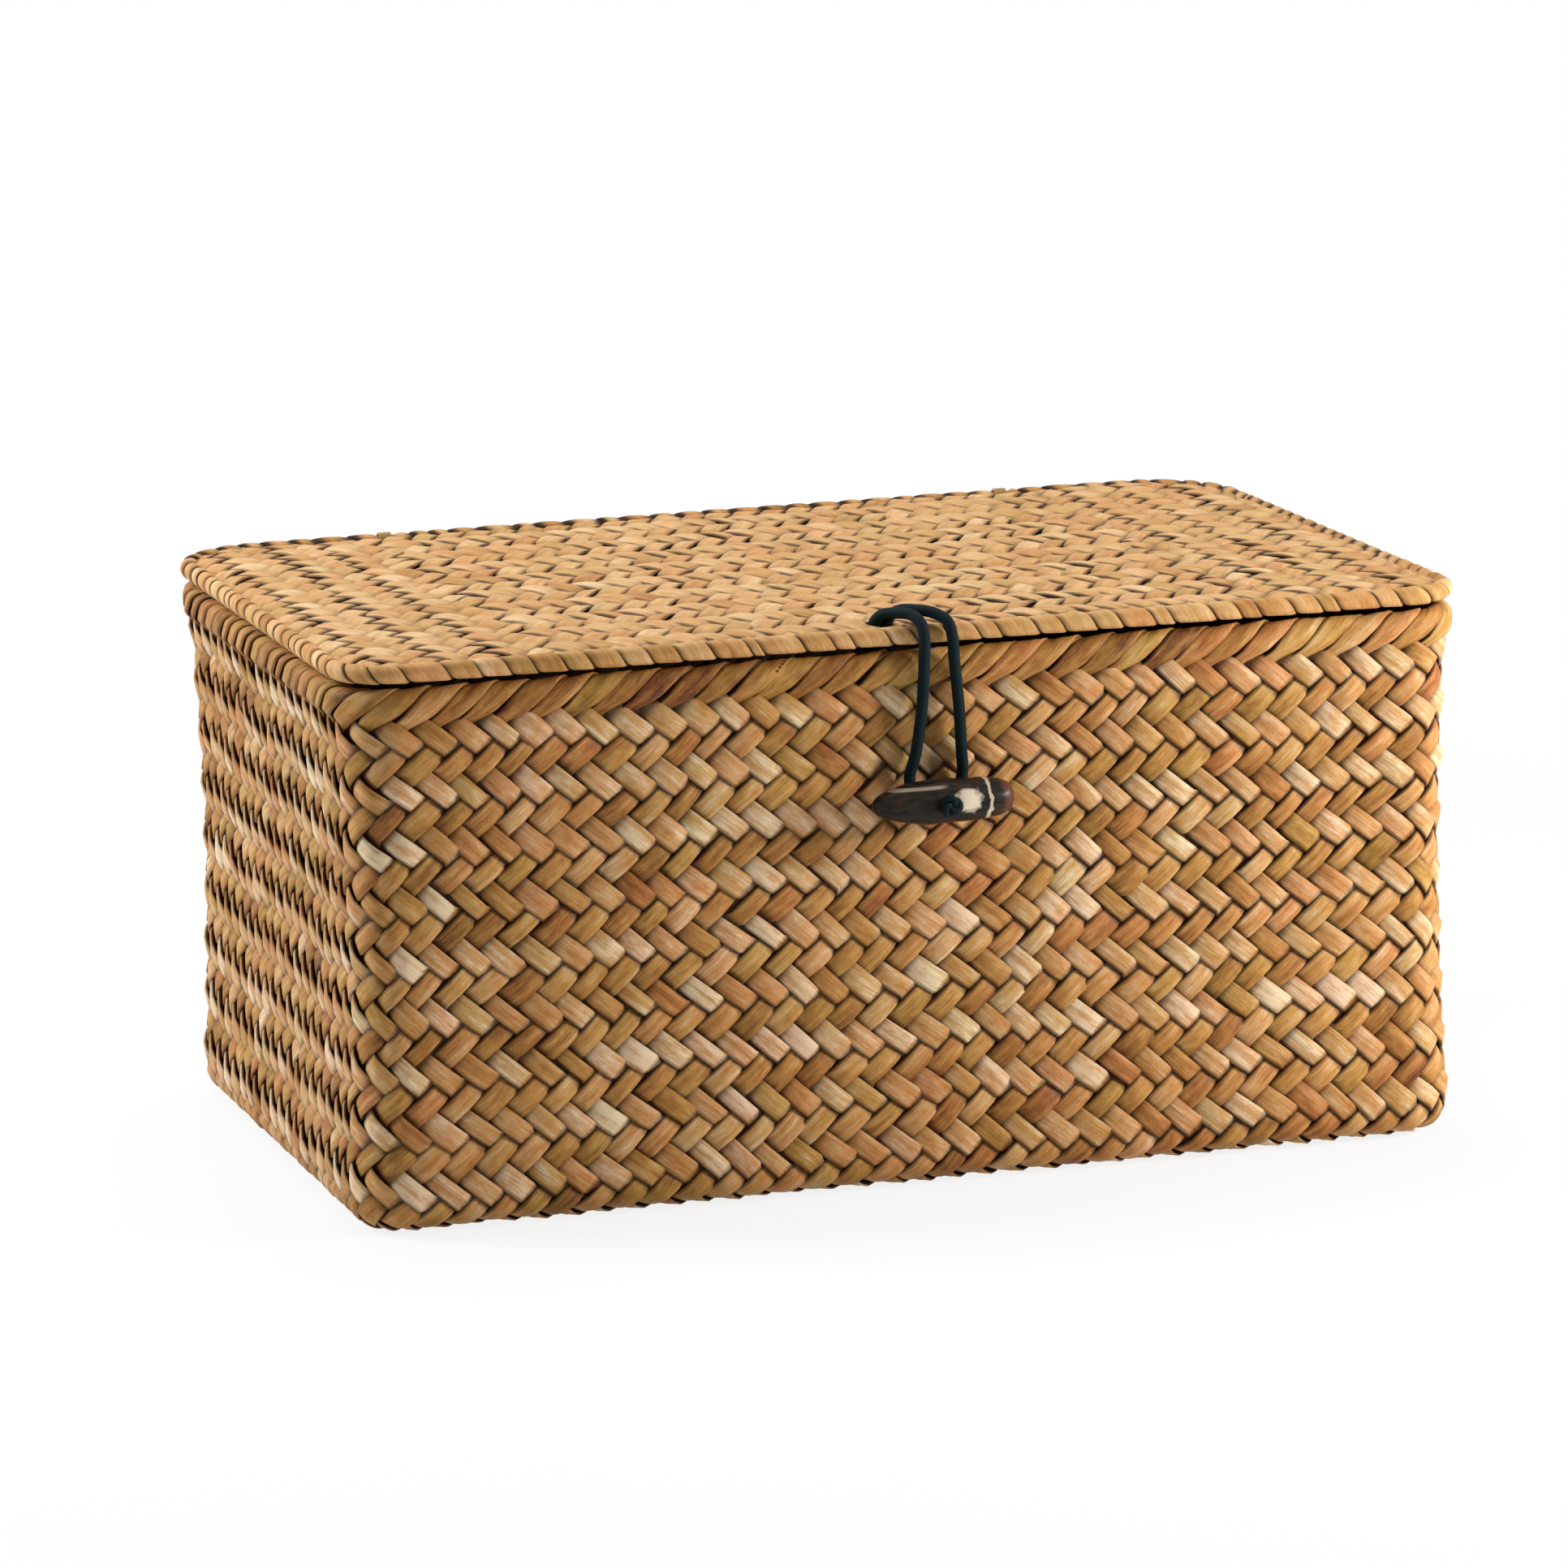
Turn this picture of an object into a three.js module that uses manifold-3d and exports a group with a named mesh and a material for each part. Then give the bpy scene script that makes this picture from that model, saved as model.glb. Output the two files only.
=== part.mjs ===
// A lidded keepsake box plaited from flat sedge strips, held shut by a cord loop over a toggle bar.
// Millimetres, +Z up. The origin is the middle of the underside, +X runs along the length and
// the front faces -Y. The plait itself is left out: each mat is a plain solid of its true shape.

import * as THREE from "three";
import { mergeVertices } from "three/addons/utils/BufferGeometryUtils.js";
import Module from "manifold-3d";

// Clearances
const SEAT_GAP = 0.3; // between pieces that seat on each other
const RUN_GAP = 0.4; // between pieces that move past each other

// Lid
const LID_LENGTH = 290;
const LID_DEPTH = 190;
const LID_FRONT_CORNER = 16; // plan radius
const LID_REAR_CORNER = 26; // plan radius
const LID_ROLL = 5.2; // diameter of the rolled border
const LID_ROLL_SKIN = 0.9; // thickness of the strips round the hoop
const LID_ROLL_SEAM = 2; // open seam along the inner side of the border
const LID_HOOP = 2.4; // diameter
const LID_MAT = 3; // thickness

// Box
const BOX_HEIGHT = 136; // ground to the top of the rim
const LID_OVERHANG = 1.7; // lid edge past the wall face
const WALL = 4; // thickness
const WALL_WAIST = 2; // how far the walls draw in at half height
const FOOT_INNER_RADIUS = 4; // inner bend where a wall turns into the base
const BASE_MAT = 4; // thickness
const RIM_BAND = 10; // height of the binding over the wall tops
const RIM_SKIN = 1; // thickness of the binding
const RIM_HOOP = 3.2; // diameter

// Hinge ties, lashed round the lid's rear border and the rear rim
const TIE_SPACING = 170;
const TIE_WIDTH = 4;
const TIE_THICKNESS = 1;

// Closure loop
const LOOP_CORD = 2.9; // diameter
const LOOP_HOLE_X = -6.5;
const LOOP_STRAND_SPACING = 3.2; // between the two strands in the slot
const LOOP_LEAN = 2.6; // how far the strands lean forward in the mat
const LOOP_KNOT_RADIUS = 4;
const LOOP_KNOT_HEIGHT = 6.6;

// Toggle
const TOGGLE_X = 3.5;
const TOGGLE_DROP = 37; // below the rim
const TOGGLE_LENGTH = 36;
const TOGGLE_RADIUS = 5.5; // at the middle
const TOGGLE_TIP_RADIUS = 3.4;
const TOGGLE_STANDOFF = 4.2; // from the wall face to the back of the bar
const TOGGLE_CORD = 2.8; // diameter
const TOGGLE_INNER_KNOT_RADIUS = 3.8;
const TOGGLE_INNER_KNOT_DEPTH = 4.4;
const TOGGLE_FRONT_KNOT_RADIUS = 2.6;
const TOGGLE_FRONT_KNOT_DEPTH = 2.4;

// Facets
const CORNER_STEPS = 6; // on a quarter turn in plan
const FOOT_STEPS = 4;
const WALL_STEPS = 6; // up a wall
const ROLL_STEPS = 16; // round the lid's border
const ROD_SIDES = 10;
const ROUND_SIDES = 20;
const BARREL_STEPS = 10;
const ARC_POINTS = 8; // on a half turn of a tie or a knot
const CORD_SIDES = 8;
const CORD_STEPS = 34;

// Heights and half sizes that follow
const rollRadius = LID_ROLL / 2;
const hingeZ = BOX_HEIGHT + SEAT_GAP + rollRadius; // the middle of the lid's border
const matUnder = hingeZ - LID_MAT / 2;
const footRadius = FOOT_INNER_RADIUS + WALL;
const rimProud = SEAT_GAP + RIM_SKIN; // binding face past the wall face
const rimRadius = WALL / 2 + rimProud; // of the round top of the binding
const rimInnerInset = LID_OVERHANG + WALL + rimProud;
const rimBottom = BOX_HEIGHT - RIM_BAND;
const rimRoundZ = BOX_HEIGHT - rimRadius; // the middle of that round top
const rimHoopZ = BOX_HEIGHT - RIM_SKIN - SEAT_GAP - RIM_HOOP / 2;
const wallTop = rimHoopZ - RIM_HOOP / 2 - SEAT_GAP;

// The cord loop's middle line: up out of the lid, over its front edge, down behind the toggle bar,
// under the toggle's cord and back the same way.
const LOOP_ROUTE = [
  [-8.1, -83.6, 137.4],
  [-8.0, -84.6, 140.6],
  [-6.6, -86.8, 142.6],
  [-3.6, -90.0, 143.2],
  [-0.8, -93.2, 143.3],
  [0.6, -95.8, 141.8],
  [1.0, -96.8, 138.8],
  [0.9, -96.8, 132.6],
  [0.4, -95.8, 121.0],
  [-1.0, -94.5, 109.6],
  [-2.4, -93.8, 103.6],
  [-1.0, -93.6, 97.8],
  [3.6, -93.5, 95.8],
  [8.7, -93.6, 97.8],
  [11.1, -93.8, 103.6],
  [10.8, -94.5, 109.6],
  [9.9, -95.8, 121.0],
  [8.6, -96.8, 132.6],
  [8.1, -97.0, 138.8],
  [7.2, -96.2, 142.2],
  [4.9, -93.8, 144.4],
  [1.2, -90.6, 145.0],
  [-2.6, -87.0, 144.0],
  [-4.7, -84.8, 141.2],
  [-4.9, -83.6, 137.4],
];

const wasm = await Module();
wasm.setup();

// Plan of the lid's outer edge as four corner arcs, counter-clockwise from the right rear corner.
const corners = [
  { sideX: 1, sideY: 1, radius: LID_REAR_CORNER },
  { sideX: -1, sideY: 1, radius: LID_REAR_CORNER },
  { sideX: -1, sideY: -1, radius: LID_FRONT_CORNER },
  { sideX: 1, sideY: -1, radius: LID_FRONT_CORNER },
].map((corner, index) => ({
  x: corner.sideX * (LID_LENGTH / 2 - corner.radius),
  y: corner.sideY * (LID_DEPTH / 2 - corner.radius),
  radius: corner.radius,
  startAngle: (index * Math.PI) / 2,
}));

// Stations on part of a corner arc, from one share of its quarter turn to another.
function arcStations(corner, fromShare, toShare) {
  const steps = Math.round(CORNER_STEPS * (toShare - fromShare));
  return Array.from({ length: steps + 1 }, (_, i) => {
    const share = fromShare + ((toShare - fromShare) * i) / steps;
    return { corner, angle: corner.startAngle + (share * Math.PI) / 2, shift: 0 };
  });
}

// The point of a station at a distance in from the lid's edge. A shift moves it along the edge.
function stationPoint(station, inset) {
  const { corner, angle, shift } = station;
  const reach = corner.radius - inset;
  return new THREE.Vector2(
    corner.x + reach * Math.cos(angle) - shift * Math.sin(angle),
    corner.y + reach * Math.sin(angle) + shift * Math.cos(angle),
  );
}

// The corner that each wall starts from
const startCorner = { rear: 0, left: 1, front: 2, right: 3 };

const wholeRing = corners.flatMap((corner) => arcStations(corner, 0, 1));

// Sweep a closed section of [inset, height] points, taken clockwise, along stations.
function sweep(stations, section, closed) {
  const count = section.length;
  const positions = stations.flatMap((station) =>
    section.flatMap(([inset, z]) => [...stationPoint(station, inset), z]),
  );
  const faces = [];
  const spans = closed ? stations.length : stations.length - 1;
  for (let i = 0; i < spans; i++) {
    const here = i * count;
    const next = ((i + 1) % stations.length) * count;
    for (let j = 0; j < count; j++) {
      const k = (j + 1) % count;
      faces.push(here + j, next + j, next + k, here + j, next + k, here + k);
    }
  }
  if (!closed) {
    const contour = section.map(([inset, z]) => new THREE.Vector2(inset, z));
    const last = (stations.length - 1) * count;
    for (const [a, b, c] of THREE.ShapeUtils.triangulateShape(contour, [])) {
      faces.push(c, b, a, last + a, last + b, last + c);
    }
  }
  const geometry = new THREE.BufferGeometry();
  geometry.setAttribute("position", new THREE.Float32BufferAttribute(positions, 3));
  geometry.setIndex(faces);
  return geometry;
}

// Points on an arc in the section plane, from one angle to another, both included.
function arc(centreInset, centreZ, radius, fromAngle, toAngle, steps) {
  return Array.from({ length: steps + 1 }, (_, i) => {
    const angle = fromAngle + ((toAngle - fromAngle) * i) / steps;
    return [centreInset - radius * Math.cos(angle), centreZ + radius * Math.sin(angle)];
  });
}

function rodSection(centreInset, centreZ, diameter) {
  return arc(centreInset, centreZ, diameter / 2, 0, 2 * Math.PI, ROD_SIDES).slice(0, ROD_SIDES);
}

function toSolid(geometry) {
  const bare = geometry.clone();
  bare.deleteAttribute("normal");
  bare.deleteAttribute("uv");
  const merged = mergeVertices(bare);
  const mesh = new wasm.Mesh({
    numProp: 3,
    vertProperties: merged.attributes.position.array,
    triVerts: new Uint32Array(merged.index.array),
  });
  return new wasm.Manifold(mesh);
}

function cut(geometry, cutters) {
  const solid = cutters.reduce((left, cutter) => left.subtract(toSolid(cutter)), toSolid(geometry));
  const { vertProperties, triVerts } = solid.getMesh();
  const result = new THREE.BufferGeometry();
  result.setAttribute("position", new THREE.BufferAttribute(vertProperties, 3));
  result.setIndex(new THREE.BufferAttribute(triVerts, 1));
  return result;
}

// How far a wall draws in at a height: a parabola from the foot to the wall's top.
function waistAt(z) {
  const share = (2 * (z - footRadius)) / (wallTop - footRadius) - 1;
  return WALL_WAIST * (1 - share * share);
}

// A flat slab of the lid's plan, drawn in by an inset.
function slab(inset, bottom, thickness) {
  const outline = new THREE.Shape(wholeRing.map((station) => stationPoint(station, inset)));
  const geometry = new THREE.ExtrudeGeometry(outline, { depth: thickness, bevelEnabled: false });
  return geometry.translate(0, 0, bottom);
}

// A cylinder along Y between two depths.
function holeAlongY(x, z, radius, fromY, toY) {
  const geometry = new THREE.CylinderGeometry(radius, radius, toY - fromY, ROUND_SIDES);
  return geometry.translate(x, (fromY + toY) / 2, z);
}

// Toggle places, taken from the front wall's face at the toggle's height
const toggleZ = BOX_HEIGHT - TOGGLE_DROP;
const frontFaceY = -(LID_DEPTH / 2 - LID_OVERHANG - waistAt(toggleZ));
const frontInnerY = frontFaceY + WALL;
const toggleY = frontFaceY - TOGGLE_STANDOFF - TOGGLE_RADIUS;
const toggleHoleRadius = TOGGLE_CORD / 2 + SEAT_GAP;

// Tie places, as insets from the lid's rear edge
const tieBack = Math.min(0, LID_OVERHANG - rimProud) - SEAT_GAP;
const tieFront = rimInnerInset + SEAT_GAP;
const tieInset = (tieBack + tieFront) / 2;
const tieRadius = (tieFront - tieBack) / 2;
const tieShoulderZ = rimRoundZ + 2 * SEAT_GAP; // where its front strand starts to lean back to the lid

// A loop with round ends in the YZ plane: close round the lid's border at the top, and wider round
// the rim below. Grown by a clearance all round, it cuts the tie's own passage.
function tieLoop(centreX, clearance) {
  const trace = (path, growth) => {
    const topRadius = rollRadius + RUN_GAP + growth;
    path.absarc(tieInset - rollRadius, hingeZ, topRadius, 0, Math.PI, false);
    path.lineTo(-tieRadius - growth, tieShoulderZ);
    path.absarc(0, rimBottom, tieRadius + growth, Math.PI, 2 * Math.PI, false);
    path.closePath();
    return path;
  };
  const shape = trace(new THREE.Shape(), TIE_THICKNESS + clearance);
  shape.holes.push(trace(new THREE.Path(), -clearance));
  const width = TIE_WIDTH + 2 * clearance;
  const settings = { depth: width, bevelEnabled: false, curveSegments: ARC_POINTS };
  const geometry = new THREE.ExtrudeGeometry(shape, settings);
  geometry.rotateX(Math.PI / 2);
  geometry.rotateZ(Math.PI / 2);
  return geometry.translate(centreX - width / 2, LID_DEPTH / 2 - tieInset, 0);
}

// The notch in the lid's mat that swings past a tie.
function tieNotch(centreX) {
  const notchFront = tieFront + TIE_THICKNESS + RUN_GAP;
  const geometry = new THREE.BoxGeometry(TIE_WIDTH + 2 * RUN_GAP, notchFront, LID_MAT * 2);
  return geometry.translate(centreX, LID_DEPTH / 2 - notchFront / 2, hingeZ);
}

const tieCentres = { left: -TIE_SPACING / 2, right: TIE_SPACING / 2 };

// Box pieces

function wallSection() {
  const levels = Array.from(
    { length: WALL_STEPS },
    (_, i) => footRadius + ((wallTop - footRadius) * (i + 1)) / WALL_STEPS,
  );
  const bend = LID_OVERHANG + footRadius;
  const quarter = Math.PI / 2;
  return [
    ...arc(bend, footRadius, footRadius, -quarter, 0, FOOT_STEPS),
    ...levels.map((z) => [LID_OVERHANG + waistAt(z), z]),
    ...levels.toReversed().map((z) => [LID_OVERHANG + WALL + waistAt(z), z]),
    ...arc(bend, footRadius, FOOT_INNER_RADIUS, 0, -quarter, FOOT_STEPS),
  ];
}

// A wall runs from the middle of one corner to the middle of the next.
function wall(cornerIndex) {
  const stations = [
    ...arcStations(corners[cornerIndex], 0.5, 1),
    ...arcStations(corners[(cornerIndex + 1) % corners.length], 0, 0.5),
  ];
  stations.at(0).shift = SEAT_GAP / 2;
  stations.at(-1).shift = -SEAT_GAP / 2;
  return sweep(stations, wallSection(), false);
}

function frontWall() {
  const passage = holeAlongY(
    TOGGLE_X,
    toggleZ,
    toggleHoleRadius,
    frontFaceY - WALL,
    frontInnerY + WALL,
  );
  return cut(wall(startCorner.front), [passage]);
}

function rearWall() {
  const passages = Object.values(tieCentres).map((x) => tieLoop(x, SEAT_GAP));
  return cut(wall(startCorner.rear), passages);
}

function baseMat() {
  return slab(LID_OVERHANG + footRadius + SEAT_GAP, 0, BASE_MAT);
}

// An upturned channel over the wall tops and the hoop.
function rimBinding() {
  const middle = LID_OVERHANG + WALL / 2;
  const innerRadius = rimRadius - RIM_SKIN;
  return sweep(
    wholeRing,
    [
      [middle - rimRadius, rimBottom],
      ...arc(middle, rimRoundZ, rimRadius, 0, Math.PI, ARC_POINTS),
      [middle + rimRadius, rimBottom],
      [middle + innerRadius, rimBottom],
      ...arc(middle, rimRoundZ, innerRadius, Math.PI, 0, ARC_POINTS),
      [middle - innerRadius, rimBottom],
    ],
    true,
  );
}

function rimHoop() {
  return sweep(wholeRing, rodSection(LID_OVERHANG + WALL / 2, rimHoopZ, RIM_HOOP), true);
}

// Lid pieces

// A roll with its open seam towards the mat.
function lidBorder() {
  const innerRadius = rollRadius - LID_ROLL_SKIN;
  const outerSeam = Math.asin(LID_ROLL_SEAM / 2 / rollRadius);
  const innerSeam = Math.asin(LID_ROLL_SEAM / 2 / innerRadius);
  const section = [
    ...arc(rollRadius, hingeZ, rollRadius, outerSeam - Math.PI, Math.PI - outerSeam, ROLL_STEPS),
    ...arc(rollRadius, hingeZ, innerRadius, Math.PI - innerSeam, innerSeam - Math.PI, ROLL_STEPS),
  ];
  return sweep(wholeRing, section, true);
}

function lidHoop() {
  return sweep(wholeRing, rodSection(rollRadius, hingeZ, LID_HOOP), true);
}

// The loop's hole lies just far enough back for the knot below it to clear the rim.
const loopHoleY = rimInnerInset + RUN_GAP + LOOP_KNOT_RADIUS - LID_DEPTH / 2;

// The slot in the lid's mat that both strands of the loop come up through, leaning forward.
function loopSlot() {
  const radius = LOOP_CORD / 2 + RUN_GAP;
  const reach = LOOP_STRAND_SPACING / 2;
  const quarter = Math.PI / 2;
  const ends = [
    [reach, 0],
    [-reach, 0],
    [-reach, -LOOP_LEAN],
    [reach, -LOOP_LEAN],
  ];
  const shape = new THREE.Shape();
  ends.forEach(([x, y], i) => shape.absarc(x, y, radius, i * quarter, (i + 1) * quarter, false));
  const settings = { depth: LID_MAT * 2, bevelEnabled: false, curveSegments: ARC_POINTS };
  const geometry = new THREE.ExtrudeGeometry(shape, settings);
  return geometry.translate(LOOP_HOLE_X, loopHoleY, hingeZ - LID_MAT);
}

function lidMat() {
  const notches = Object.values(tieCentres).map(tieNotch);
  return cut(slab(LID_ROLL + SEAT_GAP, matUnder, LID_MAT), [loopSlot(), ...notches]);
}

function loopKnot() {
  const geometry = new THREE.SphereGeometry(LOOP_KNOT_RADIUS, ROUND_SIDES, ARC_POINTS);
  geometry.rotateX(Math.PI / 2);
  geometry.scale(1, 1, LOOP_KNOT_HEIGHT / (2 * LOOP_KNOT_RADIUS));
  const knotZ = matUnder - SEAT_GAP - LOOP_KNOT_HEIGHT / 2;
  return geometry.translate(LOOP_HOLE_X, loopHoleY, knotZ);
}

function closureLoop() {
  const route = new THREE.CatmullRomCurve3(
    LOOP_ROUTE.map((point) => new THREE.Vector3(...point)),
    false,
    "centripetal",
  );
  const section = new THREE.Shape(
    Array.from({ length: CORD_SIDES }, (_, i) => {
      const angle = (2 * Math.PI * i) / CORD_SIDES;
      const radius = LOOP_CORD / 2;
      return new THREE.Vector2(radius * Math.cos(angle), radius * Math.sin(angle));
    }),
  );
  return new THREE.ExtrudeGeometry(section, { steps: CORD_STEPS, extrudePath: route });
}

// Toggle pieces

// A barrel along X, thickest at the middle, with a hole for its cord.
function toggleBar() {
  const half = TOGGLE_LENGTH / 2;
  const profile = Array.from({ length: BARREL_STEPS + 1 }, (_, i) => {
    const share = (2 * i) / BARREL_STEPS - 1;
    const radius = TOGGLE_RADIUS - (TOGGLE_RADIUS - TOGGLE_TIP_RADIUS) * share * share;
    return new THREE.Vector2(radius, half * share);
  });
  const points = [new THREE.Vector2(0, -half), ...profile, new THREE.Vector2(0, half)];
  const geometry = new THREE.LatheGeometry(points, ROUND_SIDES);
  geometry.rotateZ(Math.PI / 2);
  geometry.translate(TOGGLE_X, toggleY, toggleZ);
  const reach = 2 * TOGGLE_RADIUS;
  const hole = holeAlongY(TOGGLE_X, toggleZ, toggleHoleRadius, toggleY - reach, toggleY + reach);
  return cut(geometry, [hole]);
}

// Half an ellipse turned into a knot's round side, from depth to depth.
function knotProfile(radius, fromY, toY) {
  return Array.from({ length: ARC_POINTS - 1 }, (_, i) => {
    const angle = (Math.PI * (i + 1)) / ARC_POINTS;
    const y = (fromY + toY) / 2 - ((toY - fromY) / 2) * Math.cos(angle);
    return new THREE.Vector2(Math.max(radius * Math.sin(angle), TOGGLE_CORD / 2), y);
  });
}

// A straight cord through the wall and the bar, with a knot at each end.
function toggleCord() {
  const frontKnotBack = toggleY - TOGGLE_RADIUS - SEAT_GAP;
  const frontKnotTip = frontKnotBack - TOGGLE_FRONT_KNOT_DEPTH;
  const innerKnotFront = frontInnerY + SEAT_GAP;
  const innerKnotTip = innerKnotFront + TOGGLE_INNER_KNOT_DEPTH;
  const points = [
    new THREE.Vector2(0, frontKnotTip),
    ...knotProfile(TOGGLE_FRONT_KNOT_RADIUS, frontKnotTip, frontKnotBack),
    new THREE.Vector2(TOGGLE_CORD / 2, frontKnotBack),
    new THREE.Vector2(TOGGLE_CORD / 2, innerKnotFront),
    ...knotProfile(TOGGLE_INNER_KNOT_RADIUS, innerKnotFront, innerKnotTip),
    new THREE.Vector2(0, innerKnotTip),
  ];
  return new THREE.LatheGeometry(points, ROUND_SIDES).translate(TOGGLE_X, 0, toggleZ);
}

// Assembly

const finishes = {
  wallPlait: { color: 0xb98a4e, roughness: 0.7, metalness: 0 },
  lidPlait: { color: 0xd9b272, roughness: 0.65, metalness: 0 },
  cane: { color: 0xa9824f, roughness: 0.6, metalness: 0 },
  darkCord: { color: 0x122022, roughness: 0.75, metalness: 0 },
  twine: { color: 0xb58d56, roughness: 0.8, metalness: 0 },
  horn: { color: 0x3d2a20, roughness: 0.25, metalness: 0 },
};

function piece(name, geometry, finish) {
  const mesh = new THREE.Mesh(geometry, new THREE.MeshStandardMaterial(finish));
  mesh.name = name;
  return mesh;
}

const box = new THREE.Group();
box.add(
  piece("base_mat", baseMat(), finishes.wallPlait),
  piece("front_wall", frontWall(), finishes.wallPlait),
  piece("rear_wall", rearWall(), finishes.wallPlait),
  piece("left_wall", wall(startCorner.left), finishes.wallPlait),
  piece("right_wall", wall(startCorner.right), finishes.wallPlait),
  piece("rim_binding", rimBinding(), finishes.wallPlait),
  piece("rim_hoop", rimHoop(), finishes.cane),
  piece("toggle_cord", toggleCord(), finishes.darkCord),
);
for (const [side, x] of Object.entries(tieCentres)) {
  box.add(piece(`hinge_tie_${side}`, tieLoop(x, 0), finishes.twine));
}

const lid = new THREE.Group();
lid.add(
  piece("lid_mat", lidMat(), finishes.lidPlait),
  piece("lid_border", lidBorder(), finishes.lidPlait),
  piece("lid_hoop", lidHoop(), finishes.cane),
  piece("loop_knot", loopKnot(), finishes.darkCord),
);

const keepsakeBox = new THREE.Group();
keepsakeBox.add(
  box,
  lid,
  piece("closure_loop", closureLoop(), finishes.darkCord),
  piece("toggle_bar", toggleBar(), finishes.horn),
);

export default keepsakeBox;
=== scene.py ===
"""Looks of a lidded keepsake box plaited from sedge strips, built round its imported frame.

Metres, +Z up, the front towards -Y. Every mat is a real plait: two sets of flat strips that cross on the
slant, each over two and under two, worked out as whole arrays and laid on the surface of its wall or lid.
"""
import logging
import math
from dataclasses import dataclass, field, replace
from enum import Enum
from functools import cached_property
from typing import Callable, Union

import bpy
import numpy as np
from mathutils import Matrix, Vector


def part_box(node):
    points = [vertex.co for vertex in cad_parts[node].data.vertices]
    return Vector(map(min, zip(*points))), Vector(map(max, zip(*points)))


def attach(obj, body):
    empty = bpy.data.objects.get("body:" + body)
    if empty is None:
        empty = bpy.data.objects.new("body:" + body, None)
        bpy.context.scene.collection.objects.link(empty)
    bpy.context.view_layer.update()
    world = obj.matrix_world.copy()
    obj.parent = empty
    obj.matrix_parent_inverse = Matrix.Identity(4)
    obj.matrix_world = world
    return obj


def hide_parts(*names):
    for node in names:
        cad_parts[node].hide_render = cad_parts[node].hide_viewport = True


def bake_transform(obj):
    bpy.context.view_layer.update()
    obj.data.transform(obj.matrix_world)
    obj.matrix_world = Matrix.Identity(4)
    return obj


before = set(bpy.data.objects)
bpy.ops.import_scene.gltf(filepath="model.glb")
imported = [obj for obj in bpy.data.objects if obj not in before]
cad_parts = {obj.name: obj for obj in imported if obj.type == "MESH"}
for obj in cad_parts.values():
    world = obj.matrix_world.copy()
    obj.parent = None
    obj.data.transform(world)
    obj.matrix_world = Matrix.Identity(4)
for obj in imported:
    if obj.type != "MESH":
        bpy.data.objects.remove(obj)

LOG = logging.getLogger("keepsake_box")
Array = np.ndarray
Colour = tuple[float, float, float]
Surface = Callable[[Array, Array, Array], Array]
TURN = 2 * math.pi
# V from strip to strip in the UV map, so that no two strips show the same grain.
GRAIN_STEP = 3.7


def smooth_step(value: Array, low: float, high: float) -> Array:
    """Rise from 0 at low to 1 at high on the cubic 3t^2 - 2t^3."""
    share = np.clip((value - low) / (high - low), 0.0, 1.0)
    return share * share * (3 - 2 * share)


def unit(vectors: Array) -> Array:
    """Vectors along the last axis, each divided by its length."""
    return vectors / np.linalg.norm(vectors, axis=-1, keepdims=True)


# Meshes


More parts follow.
